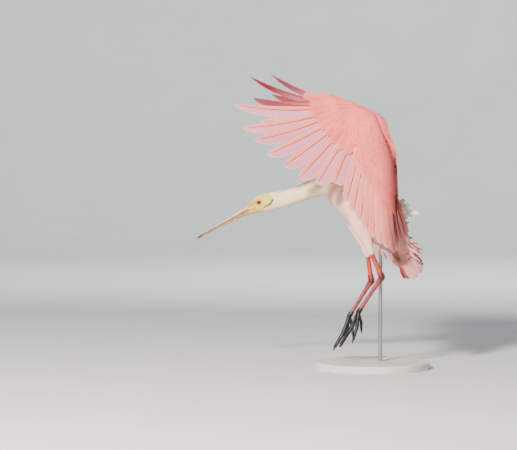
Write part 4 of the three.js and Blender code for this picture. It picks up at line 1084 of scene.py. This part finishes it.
def tail_piece(name, look):
    """The tail feathers, and three rows of coverts: above them, under them and at their roots."""
    draw = np.random.default_rng(70)
    count = TAIL["feathers"]
    some, few = np.linspace(0.2, 10.8, 14), np.linspace(1.5, 10.5, 9)
    total = count + 2 * len(some) + len(few)
    deep = np.interp(some, np.arange(count), TAIL_TINT)
    parts = tail_row(
        np.arange(count), draw.uniform(0.93, 1.03, count), 25, 0, 4, 48, 13, strip_bake(count, 0, total), draw,
        thick=0.35, full=0.25, taper=0.66, blunt=0.9, slant=1.1, splits=7, ragged=0.1, shaft=(1.4, 0.3),
        tint=TAIL_TINT, seed=71,
    )
    first = count
    for index, share, width, lift, sunk, rows, shaft, tint, seed in (
        (some, 0.5, 22, 6.5, 8, 24, 0.7, deep * 0.8, 72), (some, 0.56, 22, -7.5, 8, 24, 0.7, 0.3 * deep, 73),
        (few, 0.42, 20, 11, 22, 20, 0.6, 0.35, 74),
    ):
        bake = strip_bake(len(index), first, total)
        parts += tail_row(index, share, width, lift, sunk, rows, 9, bake, draw, splits=2, ragged=0.07, slant=1,
                          shaft=(shaft, 0.2), tint=tint, seed=seed)
        first += len(index)
    return shell(parts, name, [look])


def wisps(name, look, rows, tints, seed, ragged=0.28):
    """Loose feathers from rows of root, tip, half width and how far each bends."""
    rows = np.array(rows, float)
    draw = np.random.default_rng(seed)
    root, tip, half, bow = rows[:, :3], rows[:, 3:6], rows[:, 6], rows[:, 7]
    run = tip - root
    along = unit(run)
    off = unit(np.cross(along, draw.normal(0, 0.35, (len(rows), 3)) + [0, 0, 1]))
    across = np.cross(off, along)
    length = np.linalg.norm(run, axis=1)
    phase = draw.random(len(rows)) * 9

    def place(s, t, h):
        s, t, h = np.broadcast_arrays(s, t, h)
        sway = each(bow) * 4 * s * (1 - s) + 0.06 * each(length) * s * np.sin(5 * s + each(phase))
        lift = h + 0.3 * t * np.sin(4 * s + each(phase))
        return (
            root[:, None, None] + run[:, None, None] * s[..., None]
            + across[:, None, None] * (t + sway)[..., None] + off[:, None, None] * lift[..., None]
        )

    parts = vanes(place, length, half, half, 26, 9, strip_bake(len(rows), 0, len(rows)), thick=0.12, bare=0.0,
                  full=0.4, taper=0.5, blunt=1.3, ragged=ragged, splits=4, shaft=(0.4, 0.12), tint=tints, seed=seed + 1)
    return shell(parts, name, [look])


# Loose feathers, each: root x, y, z, tip x, y, z, half width, bend.
PLUMES = [
    (58, -14, 420, 86, -20, 437, 7, 3), (62, -8, 416, 98, -12, 426, 6, -4), (64, -20, 410, 88, -32, 424, 6, 3),
    (68, -12, 404, 124, -14, 397, 5.5, 7), (66, 2, 408, 106, 4, 407, 6, -5), (72, -18, 396, 98, -28, 389, 6, 4),
    (74, -6, 388, 96, -8, 376, 6, -3), (60, 10, 416, 84, 18, 431, 6, -3), (70, 12, 396, 94, 16, 386, 6, 3),
    (76, -14, 378, 92, -20, 362, 6, 2), (76, 4, 372, 96, 6, 354, 6, -3), (54, -24, 420, 76, -34, 436, 6, 4),
    (66, -16, 412, 101, -22, 418, 5, -3), (70, -2, 400, 112, -6, 390, 5, 4),
]
RUMP_PLUMES = [
    (64, 4, 354, 131, 2, 305, 3.4, -2), (68, -2, 350, 128, -4, 299, 3.2, -2), (60, 8, 358, 120, 10, 318, 3.4, -2),
    (66, -8, 346, 121, -12, 303, 3.2, 2), (70, 8, 344, 129, 10, 292, 3.0, -2), (58, -4, 360, 108, -8, 328, 4.0, -2),
    (72, 2, 340, 126, 0, 286, 3.2, 2), (56, 12, 362, 106, 16, 334, 3.6, -2), (68, -14, 338, 112, -20, 300, 3.6, 2),
    (74, -6, 334, 124, -8, 280, 3.4, -2), (50, 2, 366, 96, 2, 342, 4.4, -3), (52, -10, 364, 96, -16, 334, 4.4, 3),
    (74, 12, 336, 118, 16, 286, 3.4, 2), (46, 8, 370, 88, 12, 350, 4.4, -3),
]
RUMP_TINTS = [1, 0.9, 0.8, 0.4, 0.5, 0.1, 0.15, 0.6, 0.1, 0, 0.05, 0.05, 0.3, 0]
# How much of the body's dusky deep colour each undertail tuft takes: painted shade, for pale feathers hanging in the
# shadow under the body.
TUFT_PAINTED_SHADE = [0.2, 0.2, 0.3, 0.3, 0.6, 1, 1, 0.9, 0.3]
TUFTS = [
    (46, -8, 300, 59, -10, 268, 5, 3), (50, -2, 299, 65, -4, 258, 4.5, -3), (42, -12, 302, 53, -16, 276, 5, 3),
    (54, 4, 297, 66, 4, 270, 5, 3), (38, -4, 305, 47, -6, 282, 5, -2), (30, -14, 309, 37, -16, 283, 4.5, 2),
    (14, -12, 322, 19, -14, 296, 4.5, 2), (24, -6, 314, 30, -8, 290, 4.5, -2), (56, -12, 298, 70, -14, 272, 5, 2),
]


def foot_parts(leg):
    """Toes with pads at their joints, webs and claws."""
    foot = leg_spot(leg, "foot")
    down = unit(foot - leg_spot(leg, "ankle"))
    start = foot + down * 7
    toes, claws, bends = [], [], []
    for i, (tip, out, radius) in enumerate(leg["toes"]):
        end = np.array([tip[0], start[1] + leg["side"] * out, tip[1]], float)
        bend = mix(start, end, 0.5) + np.array([3 if i == 3 else 4, 0, 0])
        bends.append(bend)
        onward = unit(end - bend)
        toe_end = end - onward * 7
        path = [start, mix(start, bend, 0.6), bend, mix(bend, toe_end, 0.5), toe_end, toe_end + onward * 1.5]
        table = np.array([[*p, radius * r] for p, r in zip(path, (1, 0.84, 0.92, 0.78, 0.72, 0.4))])
        t = np.linspace(0, 5, 130)[:, None]
        angle = turns(SIDES["toe"])[None]
        joints = 3 if i < 3 else 2
        pad = 0.5 * np.maximum(0, np.cos(t / 5 * joints * 2 * np.pi)) ** 2
        ring = 0.2 * np.cos(t / 5 * 26 * 2 * np.pi + i) * np.clip(np.sin(angle) + 0.4, 0, 1)
        grain = 0.14 * scales(t * 14, angle, 2.8, 7) * np.clip(0.3 - np.sin(angle), 0, 1)
        toes.append(loft(limb_point(table, t, angle, 1.0, pad + ring + grain)))
        claw_tip = end + onward * 3 - np.array([0, 0, 1.5])
        table = np.array([[*(toe_end - onward * 2), 2.4], [*toe_end, 2.5], [*end, 1.7], [*claw_tip, 0.35]])
        claws.append(loft(limb_point(table, np.linspace(0, 3, 16)[:, None], turns(SIDES["claw"])[None])))
    webs = []
    for k in (0, 1):
        a, b = bends[k], bends[k + 1]
        off = unit(np.cross(a - start, b - start))
        s = np.linspace(0, 1, 25)[:, None, None]
        r = np.linspace(0, 1, 17)[None, :, None]
        end = mix(a, b, s)
        back = mix(start + down * 3, end, 0.06)
        front = mix(start, end, mix(0.68, 0.95, (2 * s - 1) ** 2))
        half = 0.95 * (1 - 0.5 * r) + 0.12 * np.sin(r * 22) * np.sin(np.pi * s)
        grid = mix(back, front, r)
        webs.append(loft(np.concatenate([grid + off * half, (grid - off * half)[:, ::-1]], 1)))
    return toes, webs, claws


def union(name, bodies, looks):
    """Joins closed bodies into one skin."""
    pieces = [shell([b], f"{name}_{i}", []) for i, b in enumerate(bodies)]
    base = pieces[0]
    for other in pieces[1:]:
        cut = base.modifiers.new("join", "BOOLEAN")
        cut.operation, cut.object, cut.solver = "UNION", other, "MANIFOLD"
        bpy.context.view_layer.objects.active = base
        with bpy.context.temp_override(object=base, active_object=base, selected_objects=[base]):
            bpy.ops.object.modifier_apply(modifier=cut.name)
        bpy.data.objects.remove(other)
    base.name = name
    base.data.materials.clear()
    for look in looks:
        base.data.materials.append(look)
    base.data.polygons.foreach_set("use_smooth", np.ones(len(base.data.polygons), bool))
    return base


def paint(ob, **fields):
    """Writes numbers on a mesh's corners, each from a function of x, y and z in millimetres."""
    co = np.empty(len(ob.data.vertices) * 3, np.float32)
    ob.data.vertices.foreach_get("co", co)
    x, y, z = (co.reshape(-1, 3) / MM).T
    for key, field in fields.items():
        write_numbers(ob.data, key, field(x, y, z))


# Looks.
COVERT_LOOK = feather_look("covert_feathers", *COVERT_COLOURS, streak=0.07, cloud=0.14)
FLIGHT_LOOK = feather_look("flight_feathers", *FLIGHT_COLOURS, streak=0.04, cloud=0.03)
TAIL_LOOK = feather_look("tail_vanes", *TAIL_COLOURS, streak=0.08, cloud=0.06)
BODY_LOOK = feather_look("body_feathers", *BODY_COLOURS, streak=0.08, cloud=0.1)
NECK_LOOK = feather_look("neck_feathers", *NECK_COLOURS, streak=0.1, cloud=0.15)
PLUME_LOOK = feather_look("white_plumes", *PLUME_COLOURS, streak=0.1)


def skin_look():
    look = Look("head_skin", roughness=0.5, subsurface_weight=0.06)
    where = look.place()
    spots = look.noise(240, where, detail=6)
    large = look.noise(60, where, detail=4)
    look.set("Base Color", look.coats(
        look.blend(look.span(spots, 0.35, 0.7), "bcc850", "d6d470"),
        (look.span(large, 0.45, 0.7, 0.0, 0.5), "a3b044"),
        (look.number("cheek"), look.blend(spots, "f0c878", "dfa95e")),
        (look.number("rosy"), look.blend(look.span(spots, 0.4, 0.6), "ee7c3a", "dc5a30")),
        (look.number("downy"), "f3cfa4"),
        (look.number("winged"), "e8585a"),
        (look.sums("MULTIPLY", look.number("ear"), look.span(spots, 0.3, 0.5, 0.4, 1.0)), "15100c"),
    ))
    pores = look.put("TexVoronoi", {"Vector": where, "Scale": 900.0}, out="Distance")
    look.bump(look.sums("ADD", look.noise(700, where, detail=6), pores), 0.45, 0.0004)
    return look.material


def ear_mark(x, y, z):
    gap, along = gap_to(x, z, EAR)
    return np.clip(1.5 * bell(gap, 1.5 + 0.9 * (1 - along)), 0, 1) * (x < -250) * (np.abs(y) > 6)


def rosy_mark(x, y, z):
    gape, _ = gap_to(x, z, GAPE)
    lore, _ = gap_to(x, z, LORE)
    from_eye = np.hypot(x - EYE["x"], z - EYE["z"])
    return np.clip(bell(from_eye - 6, 2.4) * 0.9 + bell(gape, 3.2) * 0.8 + bell(lore, 5.5) * 0.75, 0, 1) * (x < -262)


SKIN_MARKS = {
    "ear": ear_mark,
    "rosy": rosy_mark,
    "cheek": lambda x, y, z: smooth((419 + 0.3 * (x + 292) - z) / 8) * (x < -250),
    "downy": lambda x, y, z: smooth((x - coat_front(z) + 0.5) / 2.5),
    "winged": lambda x, y, z: smooth((np.abs(y) - 58) / 12),
}


def leg_look():
    look = Look("leg_hide", roughness=0.34)
    where = look.place()
    fine, wide = look.noise(420, where, detail=5), look.noise(130, where, detail=4)
    red = look.coats(look.blend(look.span(wide, 0.4, 0.65), "c83a2a", "94201c"),
                     (look.span(fine, 0.5, 0.72, 0.0, 0.3), "dc6048"))
    lower = look.coats(look.blend(look.span(wide, 0.42, 0.62), "98383a", "742628"),
                       (look.span(fine, 0.5, 0.72, 0.0, 0.45), "b85e5a"))
    blotches = look.span(look.noise(170, where, detail=3), 0.36, 0.52)
    foot = look.sums("ADD", look.number("foot"), look.sums("MULTIPLY_ADD", wide, 0.5, -0.25), clamp=True)
    look.set("Base Color", look.coats(
        red, (look.span(look.axis(where, "Z"), 0.235, 0.205), lower),
        (look.sums("MULTIPLY", look.number("joint"), blotches), "3a120f"),
        (look.span(foot, 0.35, 0.65), look.blend(look.span(look.noise(300, where), 0.5, 0.75), "090605", "150e0b")),
    ))
    look.set("Roughness", look.span(foot, 0.3, 0.7, 0.46, 0.2))
    cells = look.put("TexVoronoi", {"Vector": where, "Scale": 520.0}, out="Distance", feature="DISTANCE_TO_EDGE")
    look.bump(look.span(cells, 0.0, 0.2), 0.35, 0.0003)
    return look.material


def near_joint(x, y, z):
    """Dark blotches round each ankle, on its own side only."""
    gaps = [np.hypot(x - leg["ankle"][0], z - leg["ankle"][1]) + 99 * (y * leg["side"] < 0) for leg in LEGS.values()]
    return np.clip(ANKLE_DARK["strength"] * sum(bell(gap, ANKLE_DARK["reach"]) for gap in gaps), 0, 1)


def foot_mark(x, y, z):
    ends = [leg["foot"][1] for leg in LEGS.values()]
    return 1 - smooth((z - np.where(y < 0, ends[0], ends[1]) + 2) / 14)


def bill_look():
    look = Look("bill_horn", roughness=0.4)
    where = look.place()
    x = look.axis(where, "X")
    look.set("Base Color", look.coats(
        look.blend(look.span(look.noise(120, where, detail=6), 0.4, 0.62), "f0cf96", "d6ab78"),
        (look.span(x, -0.352, -0.322, 0.0, 0.75), "f4c088"),
        (look.span(look.noise(70, where, detail=4), 0.45, 0.7, 0.0, 0.5), "a2683e"),
        (look.span(x, -0.43, -0.455), "6a3a28"),
        # Painted shade: dark red-brown along the groove near the bill's edge, and near black along the mouth line
        # between the halves.
        (look.sums("MULTIPLY", look.number("groove_shade"), 0.7), "8a2c18"),
        (look.number("mouth"), "3a0804"),
    ))
    look.bump(look.noise(700, where, detail=6), 0.35, 0.0004)
    return look.material


def eye_look():
    look = Look("eyeball", roughness=0.1, specular_ior_level=0.3, coat_weight=0.5, coat_roughness=0.03)
    where = look.place()
    x, z = (look.sums("ADD", look.axis(where, key.upper()), -EYE[key] * MM) for key in "xz")
    r = look.sums("SQRT", look.sums("ADD", look.sums("MULTIPLY", x, x), look.sums("MULTIPLY", z, z)))
    iris = look.blend(look.span(r, 0.0022, 0.0045), "7c0503", "3c0202")
    look.set("Base Color", look.coats(
        "050303", (look.span(r, 0.0020, 0.0024), iris), (look.span(r, 0.0048, 0.0055), "1a0a08")
    ))
    return look.material


def plain_look(name, colour, other, scale, roughness, **more):
    look = Look(name, roughness=roughness, **more)
    where = look.place()
    look.set("Base Color", look.blend(look.span(look.noise(scale, where, detail=6), 0.3, 0.7), colour, other))
    look.bump(look.noise(scale * 4, where, detail=5), 0.15, 0.0004)
    return look.material


SKIN_LOOK, LEG_LOOK, BILL_LOOK, EYE_LOOK = skin_look(), leg_look(), bill_look(), eye_look()
CLAW_LOOK = plain_look("claw_horn", "0f0c0a", "221b18", 400, 0.2)
BASE_LOOK = plain_look("painted_base", "dedbd5", "d2cfc8", 60, 0.5)
ROD_LOOK = plain_look("brushed_rod", "b9bbbd", "a4a7aa", 300, 0.3, metallic=1.0)


def bill_piece(name, up, look):
    """One half of the bill, flat along the mouth, with a groove near its edge; the upper half has nostrils."""
    quarter, sides, n = 18, 72, 260
    t = np.linspace(0.25, len(BILL) - 1, n)
    row = stations(BILL, t)
    run = unit(stations(BILL, t + 0.05)[:, :2] - stations(BILL, t - 0.05)[:, :2])
    rise = np.stack([run[:, 1], -run[:, 0]], -1)
    rise = rise * np.sign(rise[:, 1:])
    angle = (np.arange(-quarter, quarter + 1) * 2 * np.pi / sides)[None]
    low = np.abs(np.abs(angle) - 1.22)
    x = row[:, :1]
    fine = smooth((-327 - x) / 8) * 0.1 * wavy(x / 1.3 + 5 * np.sin(2 * angle), 3 + up) + 0.1 * wavy(x / 4, 1)
    relief = fine * np.clip(row[:, 2:3] / 5, 0.3, 1) - 0.6 * bell(low, 0.09) * smooth((-329 - x) / 14)
    if up > 0:
        slit, _ = gap_to(x + 0 * angle, np.abs(angle) * 8 + 0 * x, NOSTRIL)
        relief = relief - 1.5 * bell(slit, 0.75) + 0.35 * bell(slit - 2.0, 0.9)
        relief = relief + 0.4 * bell(angle, 0.2) * smooth((-330 - x) / 20)
    h = np.cos(angle) * (row[:, 2:3] + relief) * up + up * BILL_MOUTH / 2
    w = np.sin(angle) * (row[:, 3:4] + relief)
    rings = np.stack([x + rise[:, :1] * h, w, row[:, 1:2] + rise[:, 1:] * h], -1)
    flat = np.linspace(1, -1, 49)[None, 1:-1, None]
    teeth = 0.22 * np.sin(row[:, 0] * 2.4)[:, None] * np.abs(flat[..., 0]) ** 6
    floor = mix(rings[:, :1], rings[:, -1:], (1 - flat) / 2)
    closed = 0.47 * BILL_MOUTH * (1 - np.abs(flat) ** 10)
    off = np.stack([rise[:, 0], 0 * t, rise[:, 1]], -1)[:, None]
    floor = floor - up * closed * off
    floor = floor - up * teeth[..., None] * off
    # This band marks the meeting face and the rim beside it, where painted shade darkens the mouth line.
    edge = np.concatenate([np.clip(np.abs(angle) / 1.57, 0, 1) ** 9 + 0 * t[:, None], 1 + 0 * floor[..., 0]], 1)
    body = loft(np.concatenate([rings, floor], 1))
    # This band marks the groove near the edge, for painted shade.
    groove_shade = np.concatenate([bell(low, 0.12) + 0 * t[:, None], 0 * floor[..., 0]], 1)
    body["numbers"] = {"mouth": edge.reshape(-1), "groove_shade": groove_shade.reshape(-1)}
    return shell([body], name, [look])


def stand_base_piece():
    """The round base of the display stand, with a rounded edge."""
    radius, top, edge = BASE["radius"], BASE["height"], BASE["edge"]
    low, high = np.linspace(0, math.pi / 2, 6), np.linspace(0, math.pi / 2, 12)
    profile = [(0.01, 0)] + [(radius - 1 + math.sin(a), 1 - math.cos(a)) for a in low]
    profile += [(radius - edge + edge * math.cos(a), top - edge + edge * math.sin(a)) for a in high]
    profile = np.array(profile + [(radius * share, top) for share in (0.8, 0.6, 0.4, 0.2, 0.002)])
    turn = turns(SIDES["base"])[None]
    rings = np.stack([profile[:, :1] * np.cos(turn), profile[:, :1] * np.sin(turn), profile[:, 1:] + 0 * turn], -1)
    return shell([loft(rings)], "display_base", [BASE_LOOK])


def eye_depth():
    return stations(BODY, np.interp(EYE["x"], [-296.4, -283.4], [3, 4]))[3] - EYE["sunk"]


def eye_piece(name, side, look):
    centre = np.array([EYE["x"], side * eye_depth(), EYE["z"]])
    t = np.linspace(0.02, np.pi - 0.02, 33)[:, None]
    a = turns(SIDES["eye"])[None]
    ring = np.stack([np.sin(t) * np.cos(a), -side * np.cos(t) + 0 * a, np.sin(t) * np.sin(a)], -1)
    return shell([loft(centre + ring * EYE["radius"])], name, [look])


def add(piece, slot, *nodes):
    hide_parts(*nodes)
    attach(piece, "root")


bodies = skin_piece()
foot_bodies = {name: foot_parts(leg) for name, leg in LEGS.items()}
for toes, webs, _ in foot_bodies.values():
    bodies += toes + webs
skin = union("skin", bodies, [SKIN_LOOK, LEG_LOOK])
centres = np.empty(len(skin.data.polygons) * 3)
skin.data.polygons.foreach_get("center", centres)
centres = centres.reshape(-1, 3) / MM
on_leg = (centres[:, 2] < LEG_SKIN["below"]) & (centres[:, 0] < LEG_SKIN["before"])
skin.data.polygons.foreach_set("material_index", on_leg.astype(np.int32))
paint(skin, joint=near_joint, foot=foot_mark, **SKIN_MARKS)
leg_nodes = [f"leg_{name}_{part}" for name in LEGS for part in ("thigh", "shank", "tarsus", "foot")]
add(skin, "bare_skin", "head", "neck", "torso", *leg_nodes)
for name in LEGS:
    add(shell(foot_bodies[name][2], f"claws_{name}", [CLAW_LOOK]), "foot_skin")
for name, side in (("left", LEFT), ("right", RIGHT)):
    add(eye_piece(f"eyeball_{name}", side, EYE_LOOK), "eye", f"eye_{name}")
    arm = [f"wing_{name}_{part}" for part in ("hand", "forearm", "upper_arm")]
    add(flight_piece(side, f"flight_feathers_{name}", FLIGHT_LOOK), "wing_feathers", *arm)
    for make, title in ((covert_rows, "coverts"), (small_coverts, "small_coverts"), (edge_coverts, "edge_coverts")):
        add(make(side, f"{title}_{name}", COVERT_LOOK), "wing_feathers")
add(bill_piece("bill_top", 1, BILL_LOOK), "bill", "bill_upper")
add(bill_piece("bill_bottom", -1, BILL_LOOK), "bill", "bill_lower")
add(tail_piece("tail_feathers", TAIL_LOOK), "tail_feathers", "tail")


def const(value):
    """A size that stays the same along the body."""
    return lambda t: value


def grown(small, full):
    """A size that grows along the neck."""
    return lambda t: mix(small, full, smooth((t - 4.2) / 2.4))


def on_back(t, angle, draw):
    return np.abs(angle) < 0.75


add(body_coat("neck_coat", NECK_LOOK, 3.6, NECK_END + 0.4, grown(1.3, 1.9), grown(1.4, 1.9), grown(3.6, 12.5),
              grown(1.5, 2.4), 4, 3, 80, ruffle=4.5, keep=behind_face), "neck_plumage")
# The breast and rump coats darken towards the rump: partly pinker plumage, partly painted shade under the wing.
contour = dict(tint=0.8, step=const(4.2), around=const(4.2), size=const(24.0), wide=const(9.0), rows=5, cols=5)
add(body_coat("breast_coat", BODY_LOOK, NECK_END, 15.0, seed=81, **contour), "plumage")
add(body_coat("rump_coat", BODY_LOOK, 15.0, RUMP_END, seed=83, **contour), "plumage")
add(body_coat("back_feathers", BODY_LOOK, 11.8, 17.6, const(9.0), const(9.0), const(46.0), const(17.0), 12, 9, 85,
              keep=on_back, ragged=0.1, above=2.5), "plumage")
add(leg_coat("thigh_coat", BODY_LOOK), "plumage")
add(shoulder_coat("shoulder_coat", COVERT_LOOK), "plumage")
add(wisps("back_plumes", PLUME_LOOK, PLUMES, 0.0, 90), "plumage")
add(wisps("tail_coverts", TAIL_LOOK, RUMP_PLUMES, RUMP_TINTS, 94, 0.12), "tail_feathers")
# The undertail tufts are pale body feathers darkened with painted shade.
add(wisps("undertail_tufts", BODY_LOOK, TUFTS, TUFT_PAINTED_SHADE, 92), "plumage")
add(stand_base_piece(), "stand_base", "stand_base")
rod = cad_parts["stand_rod"]
rod.data.materials.clear()
rod.data.materials.append(ROD_LOOK)


# Floor, light and camera, in metres and watts.
FLOOR = {"flat": 6.2, "curve": 3.0, "reach": 12, "points": 97}
LIGHTS = {
    "key": {
        "place": (-1.5, -3.9, 2.5), "target": (-0.05, 0, 0.45), "size": 0.55, "watts": 540,
        "colour": (1.0, 0.94, 0.85),
    },
    "top": {"place": (-0.4, 0.4, 4.2), "target": (0, 0, 0.3), "size": 2.5, "watts": 50, "colour": (1.0, 1.0, 1.0)},
    "backdrop": {"place": (0, 3.0, 3.6), "target": (0, 9, 1.6), "size": 4.0, "watts": 300, "colour": (0.97, 0.99, 1.0)},
}
WORLD = {"Color": (0.86, 0.9, 0.95, 1), "Strength": 0.16}
VIEW = {
    "target": (-0.295, 0.0, 0.3706), "width": 1.344, "distance": 5.6, "yaw": 5.0, "rise": 2.0, "film": 36,
    "far": 60,
}


def stage_floor():
    """A pale sheet, flat round the stand and rising in a curve on all sides."""
    x = np.linspace(-FLOOR["reach"], FLOOR["reach"], FLOOR["points"])
    grid = np.stack(np.broadcast_arrays(x[:, None], x[None, :], 0.0), -1)
    out = np.clip(np.hypot(grid[..., 0], grid[..., 1]) - FLOOR["flat"], 0, None) / FLOOR["curve"]
    bend = np.minimum(out, 0.95)
    grid[..., 2] = FLOOR["curve"] * (1 - np.sqrt(1 - bend**2) + 3.0 * (out - bend))
    i = np.arange(grid[..., 0].size).reshape(grid.shape[:2])
    f = np.stack([i[:-1, :-1], i[1:, :-1], i[1:, 1:], i[:-1, 1:]], -1).reshape(-1, 4)
    look = plain_look("floor_paper", "dfe1e3", "dadcde", 3, 0.8)
    shell([{"v": grid.reshape(-1, 3) / MM, "f": f}], "studio_floor", [look])


def area_light(name, place, target, size, watts, colour):
    data = bpy.data.lights.new(name, "AREA")
    data.shape, data.size, data.energy, data.color = "DISK", size, watts, colour
    lamp = bpy.data.objects.new(name, data)
    bpy.context.scene.collection.objects.link(lamp)
    lamp.location = place
    lamp.rotation_euler = (Vector(target) - Vector(place)).to_track_quat("-Z", "Y").to_euler()


def light_world():
    world = bpy.data.worlds.new("studio")
    world.use_nodes = True
    for socket, value in WORLD.items():
        world.node_tree.nodes["Background"].inputs[socket].default_value = value
    bpy.context.scene.world = world


def place_camera():
    yaw, rise = math.radians(VIEW["yaw"]), math.radians(VIEW["rise"])
    back = Vector((math.sin(yaw) * math.cos(rise), -math.cos(yaw) * math.cos(rise), math.sin(rise)))
    data = bpy.data.cameras.new("camera")
    data.sensor_width = VIEW["film"]
    data.lens = VIEW["film"] * VIEW["distance"] / VIEW["width"]
    data.clip_end = VIEW["far"]
    camera = bpy.data.objects.new("camera", data)
    bpy.context.scene.collection.objects.link(camera)
    camera.location = Vector(VIEW["target"]) + back * VIEW["distance"]
    camera.rotation_euler = back.to_track_quat("Z", "Y").to_euler()
    bpy.context.scene.camera = camera


stage_floor()
for name, light in LIGHTS.items():
    area_light(name, **light)
light_world()
place_camera()
